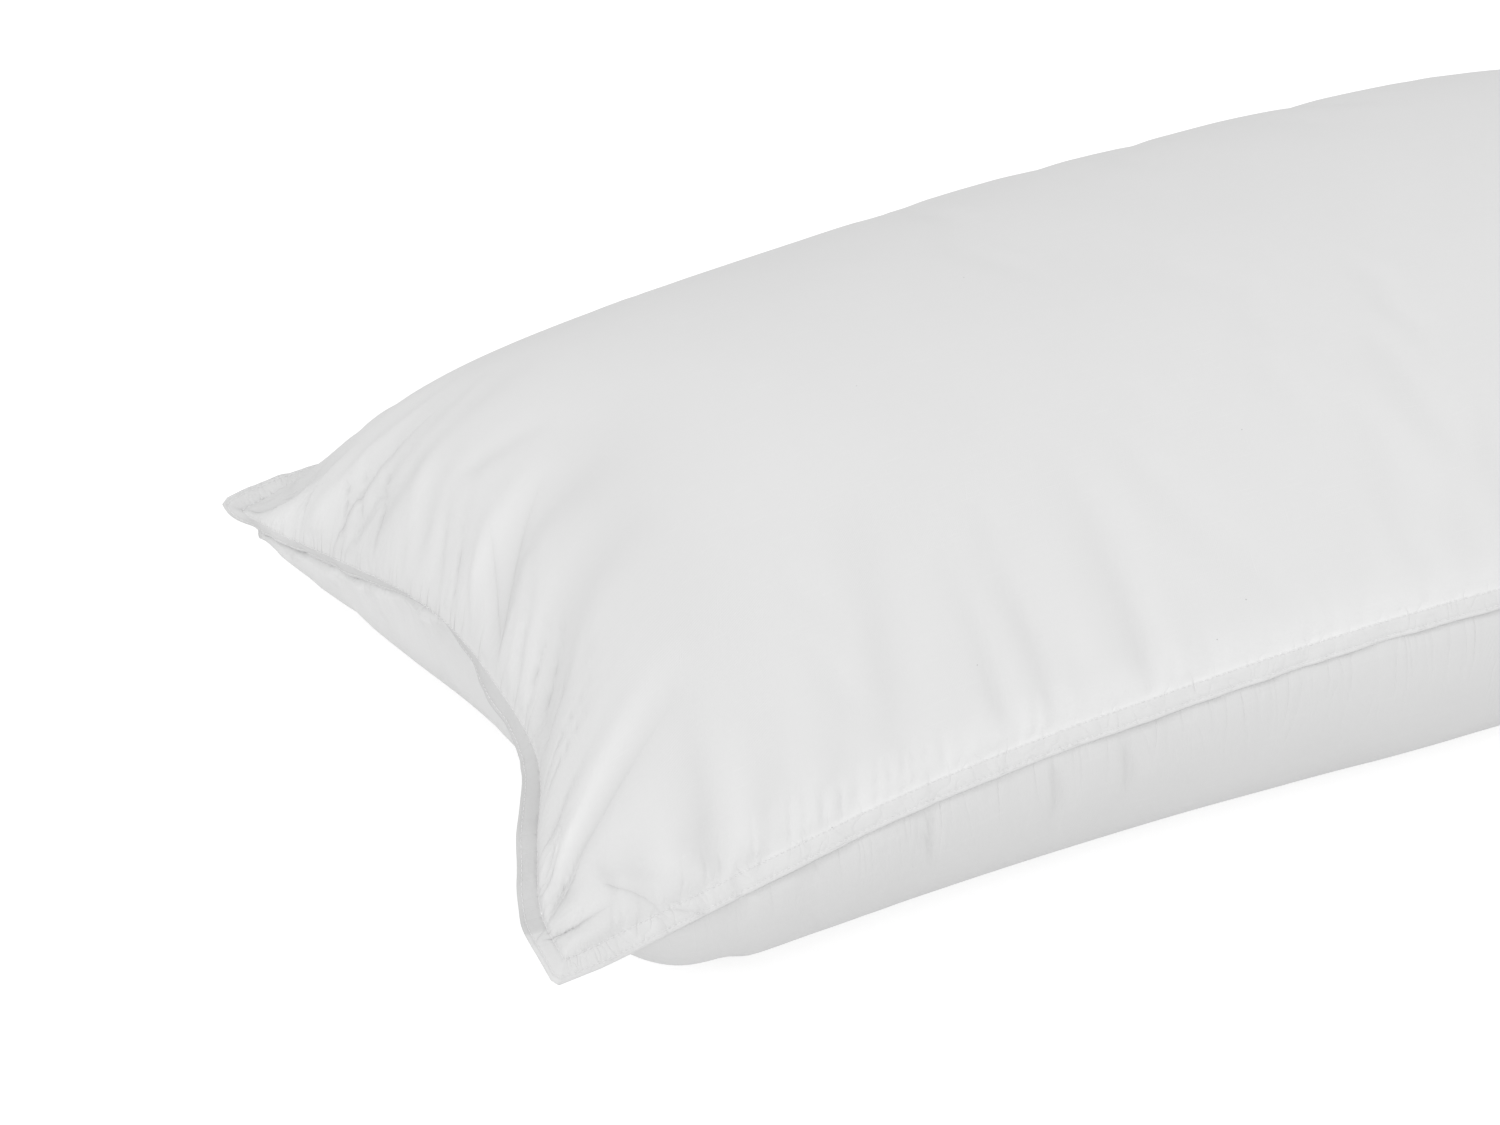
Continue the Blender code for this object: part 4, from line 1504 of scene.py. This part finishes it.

# %% [markdown]
# ## The cotton and the thread
#
# Plain white cotton is nearly matt, with a faint sheen from its loose fibres. The
# cloth's tone is white, with shade and light painted in where the mask of painted light
# and shade says, painted shade on the floors of the folds, painted light on their ridges
# and painted shade in the sharpest creases. It is a little lighter on a slub and dark at
# a speck. The weave and the slubs also raise the surface.
#
# The sharpest creases are finer than the skin's cells, so the material draws them as
# bumps and paints shade into them. The skin only has their soft shoulders. Each row below
# is one crease: where it starts and ends in mm from above, how far it bows out between,
# how wide it is at both ends, and its depth.

# %% Make the cotton and the thread
COTTON_TONE = 0.740
CLOUDS_PER_METRE = 14.0
CLOUD_TONE = 0.020
SLUB_TONE = 0.012
SPECK_TONE = -0.22
PAINTED_SHADING_STRENGTH = 0.15
FOLD_SHADE = 0.013
COTTON_ROUGHNESS = 0.9
SLUB_ROUGHNESS = -0.06
SLUB_HEIGHT = 0.6
WEAVE_STRENGTH = 0.35
WEAVE_HEIGHT = 0.12
TOP_UP_TO = 0.6
CREASE_COLUMNS = "start_x start_y end_x end_y bow width wider depth"
CREASES = {
    "long crease": (-427, -201, -334, -143, 2.5, 0.8, 2.6, 0.50),
    "low crease": (-431, -206, -394, -206, -2.5, 0.8, 1.2, 0.65),
    "side crease": (-399, -197, -369, -216, 1.0, 0.9, 1.4, 0.42),
    "second side crease": (-372, -210, -346, -216, 0.5, 0.8, 1.0, 0.40),
    "ear crease": (-410, 118, -346, 98, -10.0, 0.8, 4.0, 0.75),
    "ear branch": (-402, 96, -384, 82, 0.5, 0.7, 1.4, 0.20),
    "corner line": (-438, -209, -390, -175, 1.0, 0.6, 0.9, 0.30),
    "ear line": (-421, 219, -388, 167, 0.0, 0.8, 1.2, 0.45),
    "left of the v": (-382, -42, -371, -2, -1.0, 0.7, 1.2, 0.40),
    "right of the v": (-385, -45, -342, -6, 1.0, 0.8, 2.4, 0.50),
}
CREASE_SHADE = 0.10
# For each kind of pleat: the attribute that says where it shows, its cells to a metre
# each way, how sharp it is, and its depth in mm.
PLEAT_ROWS = [
    ("beside_ends", (22, 130, 1), 13, 0.55),
    ("beside_sides", (130, 75, 1), 14, 0.34),
]


def crease_height(tree, flat_place_socket):
    """Depth in mm of all the creases of the upper panel, alone and together with the
    pleats beside the seam. Its part of the UV map keeps the underside out."""
    where = tree.nodes.new("ShaderNodeTexCoord")
    moved = tree.nodes.new("ShaderNodeVectorMath")
    moved.operation = "SUBTRACT"
    tree.links.new(where.outputs["Object"], moved.inputs[0])
    moved.inputs[1].default_value = shift
    place = scaled(tree, moved.outputs[0], (1 / MM, 1 / MM, 0))
    total = 0.0
    for row in CREASES.values():
        values = dict(zip(CREASE_COLUMNS.split(), row))
        node = tree.nodes.new("ShaderNodeGroup")
        node.node_tree = crease
        tree.links.new(place, node.inputs["Place"])
        for end in ("Start", "End"):
            low = end.lower()
            node.inputs[end].default_value = (values[low + "_x"], values[low + "_y"], 0)
        for socket in ("Bow", "Width", "Wider"):
            node.inputs[socket].default_value = values[socket.lower()]
        total = math_node(tree, "MULTIPLY_ADD", node.outputs["Mask"], values["depth"], total)
    parts = tree.nodes.new("ShaderNodeSeparateXYZ")
    tree.links.new(flat_place_socket, parts.inputs[0])
    on_top = math_node(tree, "LESS_THAN", parts.outputs["X"], TOP_UP_TO)
    creases = total = math_node(tree, "MULTIPLY", total, on_top)
    for attribute, cells, sharpness, depth in PLEAT_ROWS:
        near = tree.nodes.new("ShaderNodeAttribute")
        near.attribute_name = attribute
        node = tree.nodes.new("ShaderNodeGroup")
        node.node_tree = pleats
        tree.links.new(flat_place_socket, node.inputs["Place"])
        node.inputs["Cells"].default_value = cells
        node.inputs["Sharpness"].default_value = sharpness
        height = math_node(tree, "MULTIPLY", node.outputs["Mask"], near.outputs["Fac"])
        total = math_node(tree, "MULTIPLY_ADD", height, depth, total)
    return creases, total


def cotton_material():
    """White plain-woven cotton."""
    material = bpy.data.materials.new("white cotton")
    material.use_nodes = True
    tree = material.node_tree
    shader = tree.nodes["Principled BSDF"]
    place = tree.nodes.new("ShaderNodeUVMap")
    place.uv_map = "cloth"
    masks = {}
    for group, socket in ((weave, "Height"), (slubs, "Mask"), (specks, "Mask")):
        node = tree.nodes.new("ShaderNodeGroup")
        node.node_tree = group
        tree.links.new(place.outputs["UV"], node.inputs["Place"])
        masks[group.name] = node.outputs[socket]
    # Painted shade where this mask is above 0, and painted light where it is below 0.
    painted_shading = tree.nodes.new("ShaderNodeAttribute")
    painted_shading.attribute_name = "painted_shading"
    cloudy = noise_value(tree, place.outputs["UV"], CLOUDS_PER_METRE, 3.0)
    tone = math_node(tree, "MULTIPLY_ADD", cloudy, CLOUD_TONE, COTTON_TONE - CLOUD_TONE / 2)
    tone = math_node(tree, "MULTIPLY_ADD", masks["slubs"], SLUB_TONE, tone)
    painted_shading_factor = math_node(tree, "MULTIPLY_ADD", painted_shading.outputs["Fac"], -PAINTED_SHADING_STRENGTH, 1.0)
    tone = math_node(tree, "MULTIPLY", tone, painted_shading_factor)
    # Painted shade on the floors of the folds and painted light on their ridges.
    folds = tree.nodes.new("ShaderNodeAttribute")
    folds.attribute_name = "fold_height"
    painted_fold_shading = math_node(tree, "MULTIPLY_ADD", folds.outputs["Fac"], FOLD_SHADE, 1.0)
    tone = math_node(tree, "MULTIPLY", tone, painted_fold_shading)
    tone = math_node(tree, "MULTIPLY_ADD", masks["specks"], SPECK_TONE, tone)
    creases, depth = crease_height(tree, place.outputs["UV"])
    # Painted shade in the sharpest creases, darker where they are deeper.
    shade = math_node(tree, "MULTIPLY_ADD", creases, -CREASE_SHADE, 1.0)
    tone = math_node(tree, "MULTIPLY", tone, shade)
    colour = tree.nodes.new("ShaderNodeCombineColor")
    for channel in ("Red", "Green", "Blue"):
        tree.links.new(tone, colour.inputs[channel])
    tree.links.new(colour.outputs[0], shader.inputs["Base Color"])
    rough = math_node(tree, "MULTIPLY_ADD", masks["slubs"], SLUB_ROUGHNESS, COTTON_ROUGHNESS)
    tree.links.new(rough, shader.inputs["Roughness"])
    shader.inputs["Specular IOR Level"].default_value = 0.2
    shader.inputs["Sheen Weight"].default_value = 0.04
    shader.inputs["Sheen Roughness"].default_value = 0.5
    height = math_node(tree, "MULTIPLY_ADD", masks["slubs"], SLUB_HEIGHT, masks["plain_weave"])
    folded = tree.nodes.new("ShaderNodeBump")
    folded.inputs["Distance"].default_value = -MM
    tree.links.new(depth, folded.inputs["Height"])
    bump = tree.nodes.new("ShaderNodeBump")
    bump.inputs["Strength"].default_value = WEAVE_STRENGTH
    bump.inputs["Distance"].default_value = WEAVE_HEIGHT * MM
    tree.links.new(folded.outputs["Normal"], bump.inputs["Normal"])
    tree.links.new(height, bump.inputs["Height"])
    tree.links.new(bump.outputs["Normal"], shader.inputs["Normal"])
    return material


def thread_material():
    """White sewing thread, smoother than the cloth."""
    material = bpy.data.materials.new("white thread")
    material.use_nodes = True
    shader = material.node_tree.nodes["Principled BSDF"]
    shader.inputs["Base Color"].default_value = (0.80, 0.80, 0.80, 1)
    shader.inputs["Roughness"].default_value = 0.6
    shader.inputs["Specular IOR Level"].default_value = 0.35
    return material


pillow_cloth.data.materials.append(cotton_material())
thread = thread_material()
for stitches in (upper_stitches, lower_stitches):
    stitches.data.materials.append(thread)

# %% [markdown]
# ## Floor and light
#
# A white floor under a white sky gives the soft, even light of a product photo. The
# floor also glows a little, as a light table does, so the walls of the pillow are
# hardly darker where they meet it. Two wide suns shape the folds: one from the left
# end, and one from the front.

# %% Light the pillow
FLOOR_SIZE = 30
FLOOR_BELOW = 0.0005
FLOOR_TONE = 0.5
FLOOR_GLOW = 0.38
FLOOR_GLOW_SEEN = 0.26
SKY_STRENGTH = 0.78
SUN_COLUMNS = "azimuth elevation strength spread"
SUNS = {
    "key": (-84, 36, 0.50, 15),
    "fill": (-6, 42, 0.60, 40),
}


def add_floor():
    """A pale floor that glows like a light table, and a little more where the camera
    sees it, so that it stays white without lighting the pillow."""
    bpy.ops.mesh.primitive_plane_add(size=FLOOR_SIZE, location=(0, 0, -FLOOR_BELOW))
    floor = bpy.context.object
    floor.name = "floor"
    material = bpy.data.materials.new("floor")
    material.use_nodes = True
    shader = material.node_tree.nodes["Principled BSDF"]
    shader.inputs["Base Color"].default_value = (FLOOR_TONE, FLOOR_TONE, FLOOR_TONE, 1)
    shader.inputs["Roughness"].default_value = 1.0
    shader.inputs["Specular IOR Level"].default_value = 0.0
    shader.inputs["Emission Color"].default_value = (1, 1, 1, 1)
    seen = material.node_tree.nodes.new("ShaderNodeLightPath")
    glow = math_node(
        material.node_tree, "MULTIPLY_ADD", seen.outputs["Is Camera Ray"], FLOOR_GLOW_SEEN, FLOOR_GLOW)
    material.node_tree.links.new(glow, shader.inputs["Emission Strength"])
    floor.data.materials.append(material)
    return floor


def add_sky(strength):
    """White light from all round."""
    world = bpy.data.worlds.new("sky")
    world.use_nodes = True
    world.node_tree.nodes["Background"].inputs["Color"].default_value = (1, 1, 1, 1)
    world.node_tree.nodes["Background"].inputs["Strength"].default_value = strength
    bpy.context.scene.world = world


def add_sun(name, azimuth, elevation, strength, spread):
    """A large distant light from the given direction. All angles are in degrees."""
    light = bpy.data.lights.new(name, "SUN")
    light.energy = strength
    light.angle = math.radians(spread)
    sun = bpy.data.objects.new(name, light)
    sun.rotation_euler = direction(azimuth, elevation).to_track_quat("Z", "Y").to_euler()
    bpy.context.scene.collection.objects.link(sun)
    return sun


add_floor()
add_sky(SKY_STRENGTH)
for name, row in SUNS.items():
    add_sun(name, **dict(zip(SUN_COLUMNS.split(), row)))
bpy.context.scene.view_settings.view_transform = "Standard"
print("the floor glows, under a white sky and", len(SUNS), "suns")

# %% Declare and finish
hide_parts("pillow")
for piece in (pillow_cloth, upper_stitches, lower_stitches):
    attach(piece, "root")
